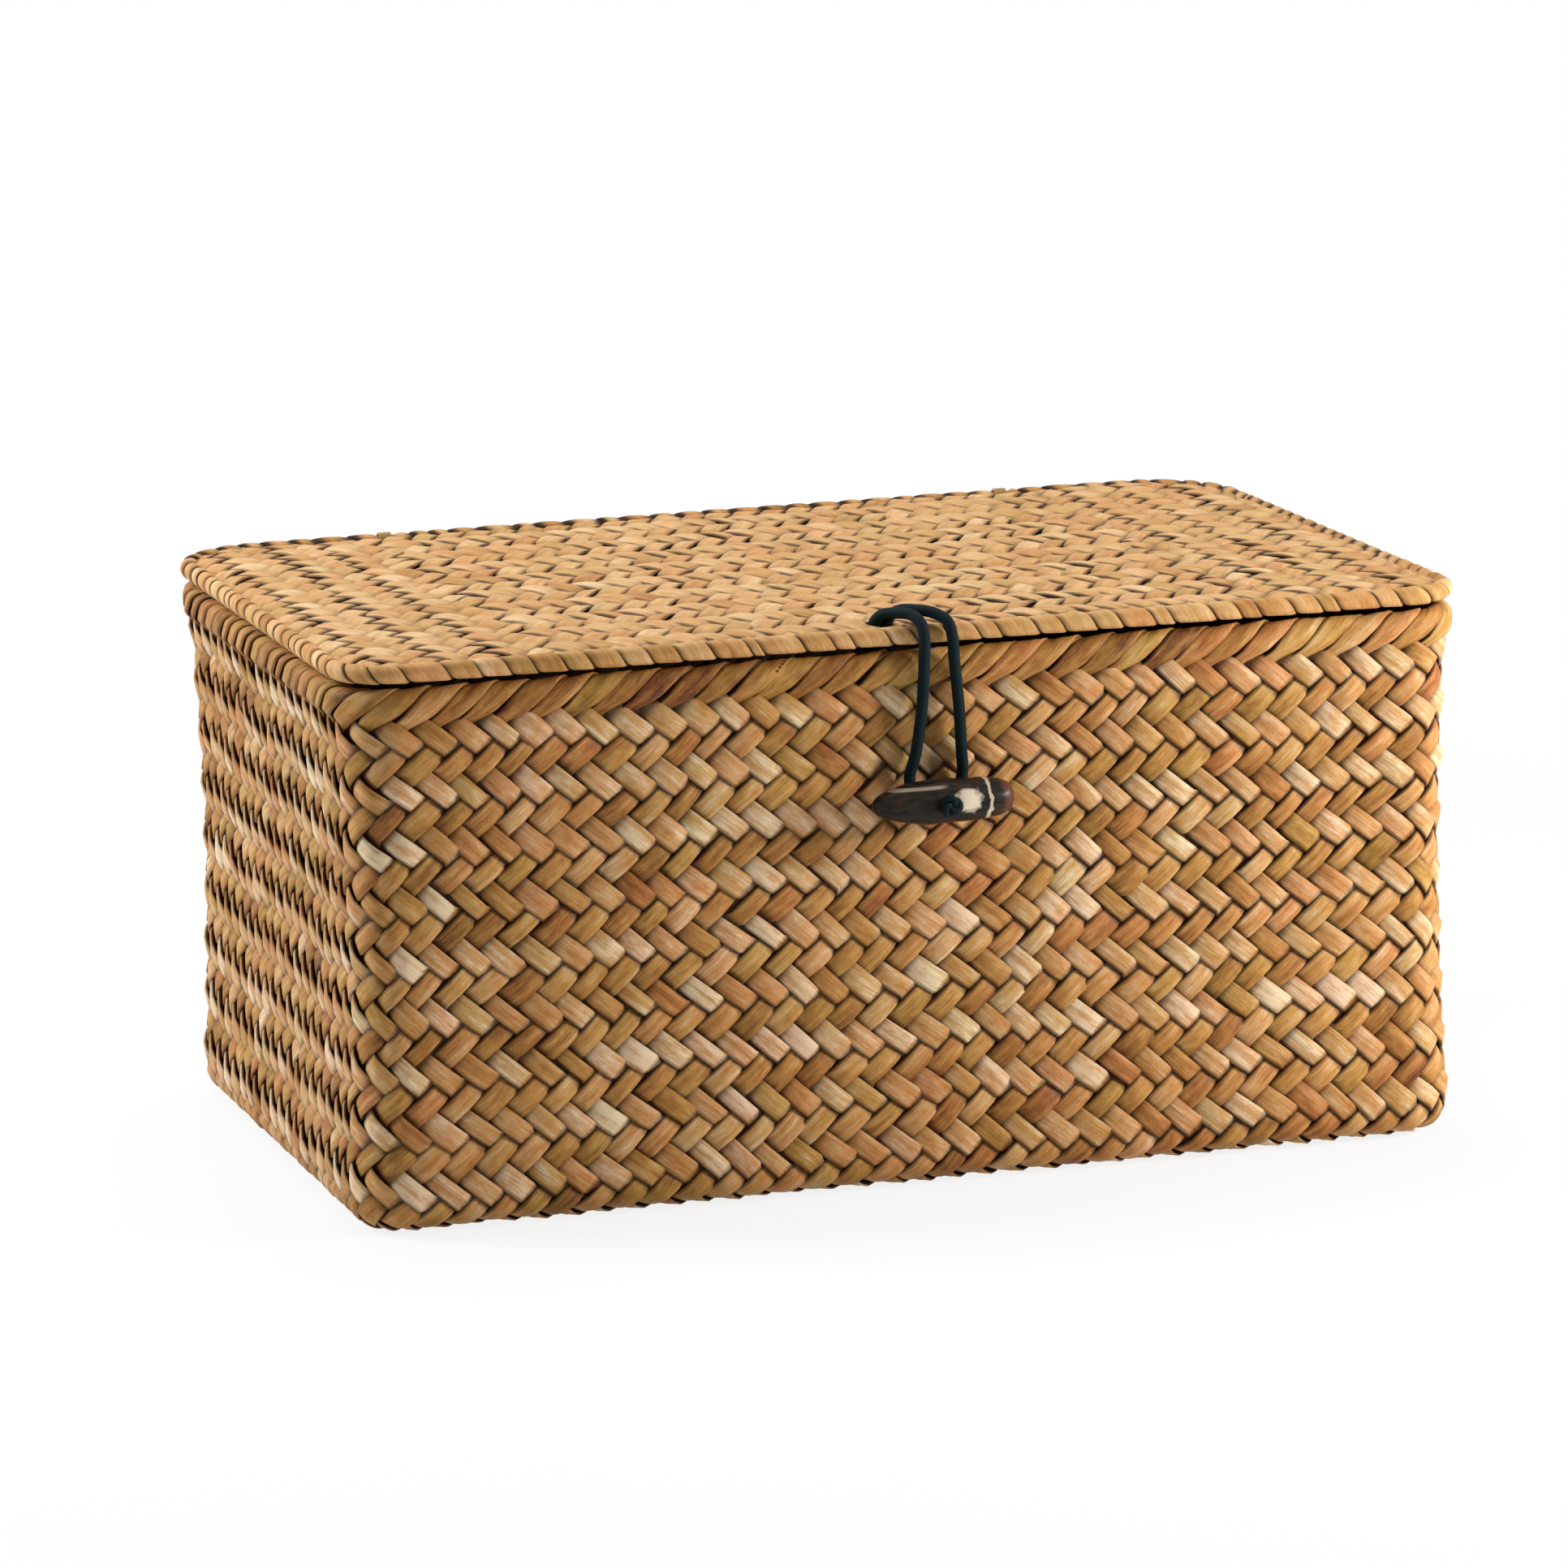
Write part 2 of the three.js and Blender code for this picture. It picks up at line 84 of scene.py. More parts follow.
@dataclass
class Shell:
    """A mesh as arrays: points, each with a UV pair and named values, and blocks of faces of one size.

    Faces are shaded smooth; facets are shaded flat, and keep the edges beside them crisp.
    """

    points: Array
    faces: list[Array]
    uv: Array
    values: dict[str, Array] = field(default_factory=dict)
    facets: list[Array] = field(default_factory=list)

    @property
    def blocks(self) -> list[Array]:
        """All blocks, smooth and flat."""
        return self.faces + self.facets

    def outward(self) -> "Shell":
        """Turn the faces over if the volume that they enclose comes out negative.

        The volume is the sum over fan triangles of a . (b x c) / 6.

        Returns:
            The same shell, with its faces pointing out.
        """
        volume = 0.0
        for block in self.blocks:
            corner = self.points[block]
            for last in range(2, block.shape[1]):
                cross = np.cross(corner[:, last - 1], corner[:, last])
                volume += float(np.einsum("ij,ij->", corner[:, 0], cross))
        if volume < 0:
            self.faces = [block[:, ::-1] for block in self.faces]
            self.facets = [block[:, ::-1] for block in self.facets]
        return self

    def compact(self) -> "Shell":
        """Drop the points that no face uses.

        Returns:
            A new shell with the same faces.
        """
        used = np.unique(np.concatenate([block.ravel() for block in self.blocks]))
        place = np.full(len(self.points), -1)
        place[used] = np.arange(len(used))
        values = {name: value[used] for name, value in self.values.items()}
        faces, facets = ([place[block] for block in blocks] for blocks in (self.faces, self.facets))
        return Shell(self.points[used], faces, self.uv[used], values, facets)

    @staticmethod
    def join(shells: list["Shell"]) -> "Shell":
        """Put several shells into one.

        Args:
            shells: Shells with the same named values.

        Returns:
            One shell that holds them all.
        """
        starts = np.cumsum([0] + [len(shell.points) for shell in shells])
        faces = [block + start for shell, start in zip(shells, starts) for block in shell.faces]
        facets = [block + start for shell, start in zip(shells, starts) for block in shell.facets]
        names = shells[0].values
        values = {name: np.concatenate([shell.values[name] for shell in shells]) for name in names}
        points = np.concatenate([shell.points for shell in shells])
        return Shell(points, faces, np.concatenate([shell.uv for shell in shells]), values, facets)

    def to_object(self, name: str) -> bpy.types.Object:
        """Make a mesh object at the origin.

        Args:
            name: The piece's name.

        Returns:
            The new object, linked to the scene.
        """
        corners = np.concatenate([block.ravel() for block in self.blocks])
        sizes = np.concatenate([np.full(len(block), block.shape[1]) for block in self.blocks])
        smooth = np.arange(len(sizes)) < sum(len(block) for block in self.faces)
        mesh = bpy.data.meshes.new(name)
        mesh.vertices.add(len(self.points))
        mesh.vertices.foreach_set("co", self.points.astype(np.float32).ravel())
        mesh.loops.add(len(corners))
        mesh.loops.foreach_set("vertex_index", corners.astype(np.int32))
        mesh.polygons.add(len(sizes))
        mesh.polygons.foreach_set("loop_start", (np.cumsum(sizes) - sizes).astype(np.int32))
        mesh.polygons.foreach_set("use_smooth", smooth)
        layer = mesh.uv_layers.new(name="strip")
        layer.data.foreach_set("uv", self.uv[corners].astype(np.float32).ravel())
        for key, value in self.values.items():
            mesh.attributes.new(key, "FLOAT", "POINT").data.foreach_set("value", value.astype(np.float32))
        mesh.update(calc_edges=True)
        mesh.validate()
        piece = bpy.data.objects.new(name, mesh)
        bpy.context.scene.collection.objects.link(piece)
        return piece


def ring_faces(rows: int, sides: int, closed: bool) -> Array:
    """Quads between neighbouring rings of a grid whose rings close on themselves.

    Args:
        rows: Number of rings.
        sides: Points on a ring.
        closed: Whether the last ring joins the first.

    Returns:
        Point indices, four to a face.
    """
    row = np.arange(rows if closed else rows - 1)[:, None]
    side = np.arange(sides)[None, :]
    here, after = row * sides, ((row + 1) % rows) * sides
    beyond = (side + 1) % sides
    quads = np.stack([here + side, after + side, after + beyond, here + beyond], axis=-1)
    return quads.reshape(-1, 4)


def end_fans(rows: int, sides: int) -> list[Array]:
    """Triangles that close the first and the last ring of a grid.

    Args:
        rows: Number of rings.
        sides: Points on a ring.

    Returns:
        A fan for each end; their middles are the two points that follow the grid's own.
    """
    first = np.arange(sides)
    last = first + (rows - 1) * sides
    middle = np.full(sides, rows * sides)
    return [
        np.stack([middle, first, np.roll(first, -1)], axis=-1),
        np.stack([middle + 1, np.roll(last, -1), last], axis=-1),
    ]


def tube(path: Array, radius: Array, aim: Vector, closed: bool = False) -> Shell:
    """Carry a round section along a path.

    Point = path + radius * (side * cos a + top * sin a), where side is at right angles to the path and to
    the direction aim. Open ends are closed by a fan round their middle.

    Args:
        path: Points of the middle line, at even steps.
        radius: Radius for every ring and side, which carries the relief of a braid or lay.
        aim: A direction that the path never follows.
        closed: Whether the path closes on itself.

    Returns:
        The tube, with U along its length in centimetres and V round it.
    """
    rows, sides = radius.shape
    if closed:
        along = np.roll(path, -1, axis=0) - np.roll(path, 1, axis=0)
    else:
        along = np.gradient(path, axis=0)
    side = unit(np.cross(along, np.array(aim)))
    top = unit(np.cross(side, along))
    angle = np.arange(sides) * TURN / sides
    spoke = side[:, None] * np.cos(angle)[None, :, None] + top[:, None] * np.sin(angle)[None, :, None]
    points = (path[:, None] + radius[..., None] * spoke).reshape(-1, 3)
    steps = np.linalg.norm(np.diff(path, axis=0), axis=1)
    run = np.concatenate([[0.0], np.cumsum(steps)]) * 100
    uv = np.stack([np.repeat(run, sides), np.tile(angle / TURN, rows)], axis=-1)
    faces = [ring_faces(rows, sides, closed)]
    if not closed:
        faces += end_fans(rows, sides)
        points = np.concatenate([points, path[[0, -1]]])
        uv = np.concatenate([uv, [[run[0], 0.5], [run[-1], 0.5]]])
    return Shell(points, faces, uv).outward()


def smooth_path(points: Array, steps: int) -> Array:
    """Pass a centripetal Catmull-Rom curve through points.

    Knots are spaced by the square root of the chord, and each span blends its four nearest points.

    Args:
        points: The points to pass through.
        steps: Samples on each span.

    Returns:
        The samples, the last point included.
    """
    guard = np.concatenate([[2 * points[0] - points[1]], points, [2 * points[-1] - points[-2]]])
    p0, p1, p2, p3 = (guard[i : len(guard) - 3 + i, None] for i in range(4))
    t0 = np.zeros((len(points) - 1, 1, 1))
    t1 = t0 + np.linalg.norm(p1 - p0, axis=-1, keepdims=True) ** 0.5
    t2 = t1 + np.linalg.norm(p2 - p1, axis=-1, keepdims=True) ** 0.5
    t3 = t2 + np.linalg.norm(p3 - p2, axis=-1, keepdims=True) ** 0.5
    t = t1 + (t2 - t1) * np.linspace(0, 1, steps, endpoint=False)[None, :, None]
    a1 = ((t1 - t) * p0 + (t - t0) * p1) / (t1 - t0)
    a2 = ((t2 - t) * p1 + (t - t1) * p2) / (t2 - t1)
    a3 = ((t3 - t) * p2 + (t - t2) * p3) / (t3 - t2)
    b1 = ((t2 - t) * a1 + (t - t0) * a2) / (t2 - t0)
    b2 = ((t3 - t) * a2 + (t - t1) * a3) / (t3 - t1)
    curve = ((t2 - t) * b1 + (t - t1) * b2) / (t2 - t1)
    return np.concatenate([curve.reshape(-1, 3), points[-1:]])


# Shader values


def operator(operation: str, swapped: bool = False) -> Callable[["Wire", "Feed"], "Wire"]:
    """Make an arithmetic method that adds one Math node.

    Args:
        operation: What the node does.
        swapped: Whether the wire is its second value.

    Returns:
        The method.
    """

    def method(self: "Wire", other: "Feed") -> "Wire":
        """Join the two values."""
        first, second = (other, self) if swapped else (self, other)
        return self.board.node("ShaderNodeMath", {"operation": operation}, {0: first, 1: second})

    return method


class Wire:
    """A value in a material: arithmetic on it adds Math nodes."""

    def __init__(self, board: "Board", socket: bpy.types.NodeSocket) -> None:
        """Keep the socket and the board that it is on."""
        self.board = board
        self.socket = socket

    __add__ = __radd__ = operator("ADD")
    __mul__ = __rmul__ = operator("MULTIPLY")
    __sub__ = operator("SUBTRACT")
    __rsub__ = operator("SUBTRACT", swapped=True)
    __pow__ = operator("POWER")


Feed = Union[Wire, float, tuple]


class Board:
    """The nodes of one material or world."""

    def __init__(self, tree: bpy.types.NodeTree) -> None:
        """Start from an empty tree."""
        self.tree = tree
        tree.nodes.clear()

    def node(
        self, kind: str, settings: dict | None = None, feeds: dict | None = None, out: int = 0
    ) -> Wire:
        """Add a node.

        Args:
            kind: The node's type.
            settings: Its properties, set first; "stops" fills a ramp with (place, colour) pairs.
            feeds: Values or wires for its sockets, by name or number.
            out: Which output to return.

        Returns:
            The chosen output.
        """
        made = self.tree.nodes.new(kind)
        for key, value in (settings or {}).items():
            if key == "stops":
                for extra in value[2:]:
                    made.color_ramp.elements.new(extra[0])
                for element, (place, colour) in zip(made.color_ramp.elements, value):
                    element.position, element.color = place, (*colour, 1.0)
            else:
                setattr(made, key, value)
        for key, value in (feeds or {}).items():
            socket = made.inputs[key]
            if isinstance(value, Wire):
                self.tree.links.new(value.socket, socket)
            else:
                socket.default_value = (*value, 1.0) if socket.type == "RGBA" else value
        return Wire(self, made.outputs[out] if made.outputs else made.inputs[0])

    def attribute(self, name: str) -> Wire:
        """A named value of the mesh."""
        return self.node("ShaderNodeAttribute", {"attribute_name": name}, out=2)

    def noise(self, vector: Wire, scale: float, detail: float = 3.0, rough: float = 0.5) -> Wire:
        """Noise from 0 to 1 on a vector."""
        feeds = {"Vector": vector, "Scale": scale, "Detail": detail, "Roughness": rough}
        return self.node("ShaderNodeTexNoise", None, feeds)

    def stretched(self, vector: Wire, by: tuple[float, float, float]) -> Wire:
        """A vector multiplied part by part."""
        return self.node("ShaderNodeVectorMath", {"operation": "MULTIPLY"}, {0: vector, 1: by})

    def ramp(self, value: Wire, stops: list[tuple[float, Colour]]) -> Wire:
        """A colour looked up by a value."""
        return self.node("ShaderNodeValToRGB", {"stops": stops}, {0: value})

    def blend(self, share: Feed, first: Feed, second: Feed) -> Wire:
        """Mix two colours."""
        return self.node("ShaderNodeMix", {"data_type": "RGBA"}, {0: share, 6: first, 7: second}, out=2)

    def within(self, value: Wire, low: float, high: float) -> Wire:
        """Rise smoothly from 0 at low to 1 at high."""
        settings = {"interpolation_type": "SMOOTHSTEP"}
        return self.node("ShaderNodeMapRange", settings, {0: value, 1: low, 2: high, 3: 0.0, 4: 1.0})

    def surface(self, shader: Wire) -> None:
        """Send a shader to the output."""
        self.node("ShaderNodeOutputMaterial", None, {"Surface": shader})

    def skin(self, colour: Wire, rough: Wire, specular: float, relief: dict | None = None) -> None:
        """Send a plain surface to the output.

        Args:
            colour: Its base colour.
            rough: Its roughness.
            specular: Its specular level.
            relief: The bump's height, strength and distance, if it has one.
        """
        feeds = {"Base Color": colour, "Roughness": rough, "Specular IOR Level": specular}
        if relief:
            feeds["Normal"] = self.node("ShaderNodeBump", None, relief)
        self.surface(self.node("ShaderNodeBsdfPrincipled", None, feeds))


@dataclass(frozen=True)
class Finish:
    """A surface finish: one material, made once and shared by the pieces that take it."""

    name: str
    slot: str

    @cached_property
    def material(self) -> bpy.types.Material:
        """The finished material."""
        made = bpy.data.materials.new(self.name)
        made.use_nodes = True
        self.wire(Board(made.node_tree))
        return made

    def wire(self, board: Board) -> None:
        """Add the finish's nodes; each finish has its own."""
        raise NotImplementedError


@dataclass(frozen=True)
class SedgeFinish(Finish):
    """Dried sedge: every float has a tone and a tint, streaked and split along its fibres.

    The tone runs over a ramp of straw colours. There are two ramps, one reddish and one olive, and the tint
    mixes them.
    """

    reddish: tuple[Colour, ...]
    olive: tuple[Colour, ...]
    # Colour of the painted shade in crevices, along lower edges and where strips dive under.
    painted_crevice_shade: Colour = (0.03, 0.01, 0.004)
    streak_stretch: tuple[float, float, float] = (0.45, 3.0, 1.0)
    fibre_stretch: tuple[float, float, float] = (2.4, 13.0, 1.0)
    stain_stretch: tuple[float, float, float] = (1.1, 0.9, 1.0)
    streak_tone: float = 0.65
    fibre_tone: float = 0.5
    stain_tone: float = 0.85
    stain_tint: float = 1.3
    roughness: float = 0.55
    specular: float = 0.18
    relief: float = 0.00022

    def wire(self, board: Board) -> None:
        """Add up the tone and colour it.

        Tone is the float's own plus streaks, fibres and stains. The shade value mixes in a dark colour,
        painted shade in crevices and where strips dive under, and the grain is a bump.

        Args:
            board: The material's nodes.
        """
        strip = board.node("ShaderNodeUVMap", {"uv_map": "strip"})
        streak = board.noise(board.stretched(strip, self.streak_stretch), 1.0, 2.0)
        fibre = board.noise(board.stretched(strip, self.fibre_stretch), 1.0, 4.0)
        stain = board.noise(board.stretched(strip, self.stain_stretch), 1.0, 6.0, 0.72)
        tone = board.attribute("tone") + (streak - 0.5) * self.streak_tone
        tone = tone + (fibre - 0.5) * self.fibre_tone + (stain - 0.5) * self.stain_tone
        tint = board.attribute("tint") + (stain - 0.5) * self.stain_tint
        ramps = []
        for colours in (self.reddish, self.olive):
            places = np.linspace(0, 1, len(colours))
            ramps.append(board.ramp(tone, list(zip(places, colours))))
        colour = board.blend(tint, *ramps)
        # Painted shade: the shade value darkens crevices towards this colour.
        colour = board.blend(board.attribute("shade"), colour, self.painted_crevice_shade)
        grain = streak + fibre * 0.6
        relief = {"Strength": 1.0, "Distance": self.relief, "Height": grain}
        board.skin(colour, self.roughness + (fibre - 0.5) * 0.4, self.specular, relief)


@dataclass(frozen=True)
class CordFinish(Finish):
    """Braided or twisted cord: slanting strands across its length, with a painted sheen on their crowns and
    painted shade between them.
    """

    valley: Colour
    crown: Colour
    strand_scale: float
    roughness: float = 0.75
    specular: float = 0.12
    relief: float = 0.0002

    def wire(self, board: Board) -> None:
        """Run the colour from the valley's painted shade to the crown's painted sheen on the relief value,
        broken up by fine noise.

        Args:
            board: The material's nodes.
        """
        place = board.node("ShaderNodeTexCoord", out=3)
        lint = board.noise(place, self.strand_scale, 3.0)
        crown = board.attribute("tone") * 0.75 + (lint - 0.35) * 0.7
        # Painted light: strand crowns lighter and valleys darker, by their relief.
        colour = board.ramp(crown, [(0.15, self.valley), (0.95, self.crown)])
        relief = {"Strength": 0.6, "Distance": self.relief, "Height": lint}
        board.skin(colour, self.roughness + (lint - 0.5) * 0.2, self.specular, relief)


@dataclass(frozen=True)
class CaneFinish(Finish):
    """Bare cane rod, streaked along its length."""

    pale: Colour = (0.48, 0.29, 0.11)
    dark: Colour = (0.24, 0.12, 0.04)
    specular: float = 0.5
    relief: float = 0.0002

    def wire(self, board: Board) -> None:
        """Run long noise between two browns.

        Args:
            board: The material's nodes.
        """
        place = board.node("ShaderNodeTexCoord", out=3)
        streak = board.noise(board.stretched(place, (60.0, 60.0, 700.0)), 1.0, 3.0)
        colour = board.ramp(streak, [(0.3, self.dark), (0.7, self.pale)])
        relief = {"Strength": 0.4, "Distance": self.relief, "Height": streak}
        board.skin(colour, 0.45 + streak * 0.2, self.specular, relief)


@dataclass(frozen=True)
class HornFinish(Finish):
    """Polished horn: dark, with grain along the bar, a painted cream highlight, a ring and a reddish tip.

    Places along the bar are shares of its half length, and heights are shares of its radius.
    """

    middle: tuple[float, float, float]
    half_length: float
    radius: float
    dark: Colour = (0.007, 0.009, 0.007)
    brown: Colour = (0.045, 0.024, 0.014)
    cream: Colour = (0.74, 0.62, 0.47)
    tip: Colour = (0.1, 0.036, 0.02)
    streak: Colour = (0.5, 0.4, 0.28)
    highlight_place: float = 0.27
    highlight_height: float = 0.1
    ring_place: float = 0.6
    tip_place: float = 0.74
    streak_height: float = 0.72
    specular: float = 0.14

    def wire(self, board: Board) -> None:
        """Place the painted highlight, the ring, the tip and a streak by shares of the length.

        Each is a soft step on a squared distance, and noise breaks its edge.

        Args:
            board: The material's nodes.
        """
        place = board.node("ShaderNodeTexCoord", out=3)
        from_middle = {0: place, 1: self.middle}
        local = board.node("ShaderNodeVectorMath", {"operation": "SUBTRACT"}, from_middle)
        parts = board.node("ShaderNodeSeparateXYZ", None, {0: local})
        along = parts * (1 / self.half_length)
        height = Wire(board, parts.socket.node.outputs[2]) * (1 / self.radius)
        grain = board.noise(board.stretched(local, (220.0, 900.0, 900.0)), 1.0, 4.0)
        swirl = board.noise(local, 420.0, 4.0)
        colour = board.ramp(grain, [(0.38, self.dark), (0.72, self.brown)])
        # Painted highlight: a cream patch right of the middle, where the polished bar catches the light.
        reach = (along - self.highlight_place + (swirl - 0.5) * 0.3) ** 2.0 * 24.0
        reach = reach + (height - self.highlight_height + (grain - 0.5) * 0.5) ** 2.0 * 2.6
        colour = board.blend(1 - board.within(reach, 0.35, 1.1), colour, self.cream)
        ring = (along - self.ring_place + (swirl - 0.5) * 0.16) ** 2.0 * 900.0
        colour = board.blend((1 - board.within(ring, 0.3, 1.2)) * 0.75, colour, self.cream)
        tip = board.within(along + (grain - 0.5) * 0.2, self.tip_place, self.tip_place + 0.12)
        colour = board.blend(tip, colour, self.tip)
        edge = (height - self.streak_height + (along + 0.4) * -0.12) ** 2.0 * 160.0
        streak = (1 - board.within(edge, 0.2, 1.0)) * (1 - board.within(along, -0.15, 0.05))
        colour = board.blend(streak * 0.8, colour, self.streak)
        board.skin(colour, 0.22 + grain * 0.25, self.specular)


WALL_REDDISH = (
    (0.045, 0.011, 0.004),
    (0.18, 0.05, 0.015),
    (0.35, 0.122, 0.032),
    (0.5, 0.21, 0.065),
    (0.63, 0.335, 0.155),
    (0.8, 0.56, 0.38),
)
WALL_OLIVE = (
    (0.04, 0.015, 0.005),
    (0.145, 0.062, 0.015),
    (0.3, 0.152, 0.03),
    (0.47, 0.255, 0.06),
    (0.58, 0.37, 0.16),
    (0.78, 0.63, 0.4),
)
LID_REDDISH = (
    (0.055, 0.017, 0.005),
    (0.24, 0.085, 0.023),
    (0.41, 0.175, 0.05),
    (0.56, 0.265, 0.088),
    (0.66, 0.36, 0.152),
    (0.78, 0.51, 0.28),
)
LID_OLIVE = (
    (0.055, 0.022, 0.006),
    (0.21, 0.1, 0.026),
    (0.38, 0.205, 0.057),
    (0.53, 0.3, 0.1),
    (0.64, 0.395, 0.165),
    (0.77, 0.54, 0.29),
)


# Forms


class Wall(Enum):
    """The four walls, in the order that the rim runs from the middle of the front."""

    FRONT = 0
    RIGHT = 1
    REAR = 2
    LEFT = 3


@dataclass(frozen=True)
class Plan:
    """A rounded rectangle seen from above, run counter-clockwise from the middle of its front.

    Distances along it are measured on the line that lies in from the edge by inset.
    """

    length: float
    depth: float
    front_corner: float
    rear_corner: float
    inset: float

    @cached_property
    def spans(self) -> dict[str, Array]:
        """Nine spans, straight and round in turn.

        A point of a span is anchor + radius * normal + slide * tangent. The normal turns along a round
        span, and the slide is the distance along a straight one.
        """
        half_x, half_y = self.length / 2 - self.inset, self.depth / 2 - self.inset
        front, rear = self.front_corner - self.inset, self.rear_corner - self.inset
        quarter = math.pi / 2
        side = 2 * half_y - front - rear
        rows = [
            (0.0, -half_y, -quarter, 0.0, half_x - front),
            (half_x - front, front - half_y, -quarter, front, quarter * front),
            (half_x, front - half_y, 0.0, 0.0, side),
            (half_x - rear, half_y - rear, 0.0, rear, quarter * rear),
            (half_x - rear, half_y, quarter, 0.0, 2 * (half_x - rear)),
            (rear - half_x, half_y - rear, quarter, rear, quarter * rear),
            (-half_x, half_y - rear, 2 * quarter, 0.0, side),
            (front - half_x, front - half_y, 2 * quarter, front, quarter * front),
            (front - half_x, -half_y, 3 * quarter, 0.0, half_x - front),
        ]
        x, y, angle, radius, run = np.array(rows).T
        turn = np.where(radius > 0, 1 / np.maximum(radius, 1e-9), 0.0)
        ends = np.cumsum(run)
        spans = {"x": x, "y": y, "angle": angle, "radius": radius, "turn": turn}
        return {**spans, "start": ends - run, "end": ends}

    @property
    def around(self) -> float:
        """Length all the way round."""
        return float(self.spans["end"][-1])

    def at(self, along: Array, inset: Array) -> tuple[Array, Array]:
        """Points at a distance along the plan and a distance in from its edge.

        Args:
            along: Distance along the plan, from the middle of the front.
            inset: Distance in from the edge.

        Returns:
            X and Y.
        """
        spans = self.spans
        place = np.mod(along, self.around)
        span = np.clip(np.searchsorted(spans["start"], place, side="right") - 1, 0, 8)
        run = place - spans["start"][span]
        angle = spans["angle"][span] + spans["turn"][span] * run
        reach = spans["radius"][span] + self.inset - inset
        slide = np.where(spans["turn"][span] > 0, 0.0, run)
        x = spans["x"][span] + reach * np.cos(angle) - slide * np.sin(angle)
        y = spans["y"][span] + reach * np.sin(angle) + slide * np.cos(angle)
        return x, y

    def wall_at(self, along: Array) -> Array:
        """Find the wall at a distance along the plan; walls meet at the middle of a corner.

        Args:
            along: Distance along the plan.

        Returns:
            The wall's number.
        """
        spans = self.spans
        corners = (spans["start"][1::2] + spans["end"][1::2]) / 2
        return np.searchsorted(corners, np.mod(along, self.around)) % len(Wall)

    def _past_corner(self, x: Array, y: Array) -> tuple[Array, Array, Array]:
        """The corner's radius at each point, and how far the point is past its middle in X and Y."""
        corner = np.where(y > 0, self.rear_corner, self.front_corner)
        return corner, np.abs(x) - self.length / 2 + corner, np.abs(y) - self.depth / 2 + corner

    def depth_inside(self, x: Array, y: Array) -> Array:
        """How far points lie in from the edge.

        Args:
            x: Their X.
            y: Their Y.

        Returns:
            The rounded rectangle's distance, positive inside.
        """
        corner, over_x, over_y = self._past_corner(x, y)
        outside = np.hypot(np.maximum(over_x, 0), np.maximum(over_y, 0))
        return corner - outside - np.minimum(np.maximum(over_x, over_y), 0)

    def pulled_in(self, x: Array, y: Array, margin: float) -> tuple[Array, Array]:
        """Move points that are nearer to the edge than margin straight in, to that distance.

        Args:
            x: Their X.
            y: Their Y.
            margin: The least distance in from the edge.

        Returns:
            X and Y after the move.
        """
        corner, over_x, over_y = self._past_corner(x, y)
        over_x, over_y = np.maximum(over_x, 0), np.maximum(over_y, 0)
        excess = 1 - np.minimum(1.0, (corner - margin) / np.maximum(np.hypot(over_x, over_y), 1e-9))
        return x - np.sign(x) * over_x * excess, y - np.sign(y) * over_y * excess


@dataclass(frozen=True)
class KeepOut:
    """A place that strips part round: points inside |x/a|^n + |y/b|^n = 1 move out to it along a spoke."""

    x: float
    y: float
    half_x: float
    half_y: float
    power: float

    def share(self, x: Array, y: Array) -> Array:
        """Compare points with the outline.

        Args:
            x: Their X.
            y: Their Y.

        Returns:
            0 at the middle, 1 on the outline.
        """
        ratio = np.abs((x - self.x) / self.half_x) ** self.power
        ratio = ratio + np.abs((y - self.y) / self.half_y) ** self.power
        return ratio ** (1 / self.power)

    def part(self, x: Array, y: Array) -> tuple[Array, Array]:
        """Move points that are inside out to the outline."""
        grow = np.maximum(1.0, 1 / np.maximum(self.share(x, y), 0.05))
        return self.x + (x - self.x) * grow, self.y + (y - self.y) * grow


@dataclass(frozen=True)
class ToneRange:
    """Tones of a set of strips: their middle, how strips and floats spread round it, and their tint."""

    middle: float
    strips: float
    floats: float
    tint: float = 0.5
    tint_spread: float = 0.3


@dataclass(frozen=True)
class StripForm:
    """The section of a strip and how it rides: a flat band that swings out and in by swing.

    Uneven, sway and tilt are the spread of a float's width, of its place and of its slope across, as shares
    of the width and the thickness. Lap is the middle of the slope: one edge lies over the next strip, the
    other under. Pinch is the share of the width lost at the strip's start, and steps are the stations on a
    span from crossing to crossing.
    """

    width: float
    thickness: float
    swing: float
    crown: float = 0.35
    uneven: float = 0.08
    sway: float = 0.04
    tilt: float = 0.12
    lap: float = 0.0
    pinch: float = 0.0
    steps: int = 4


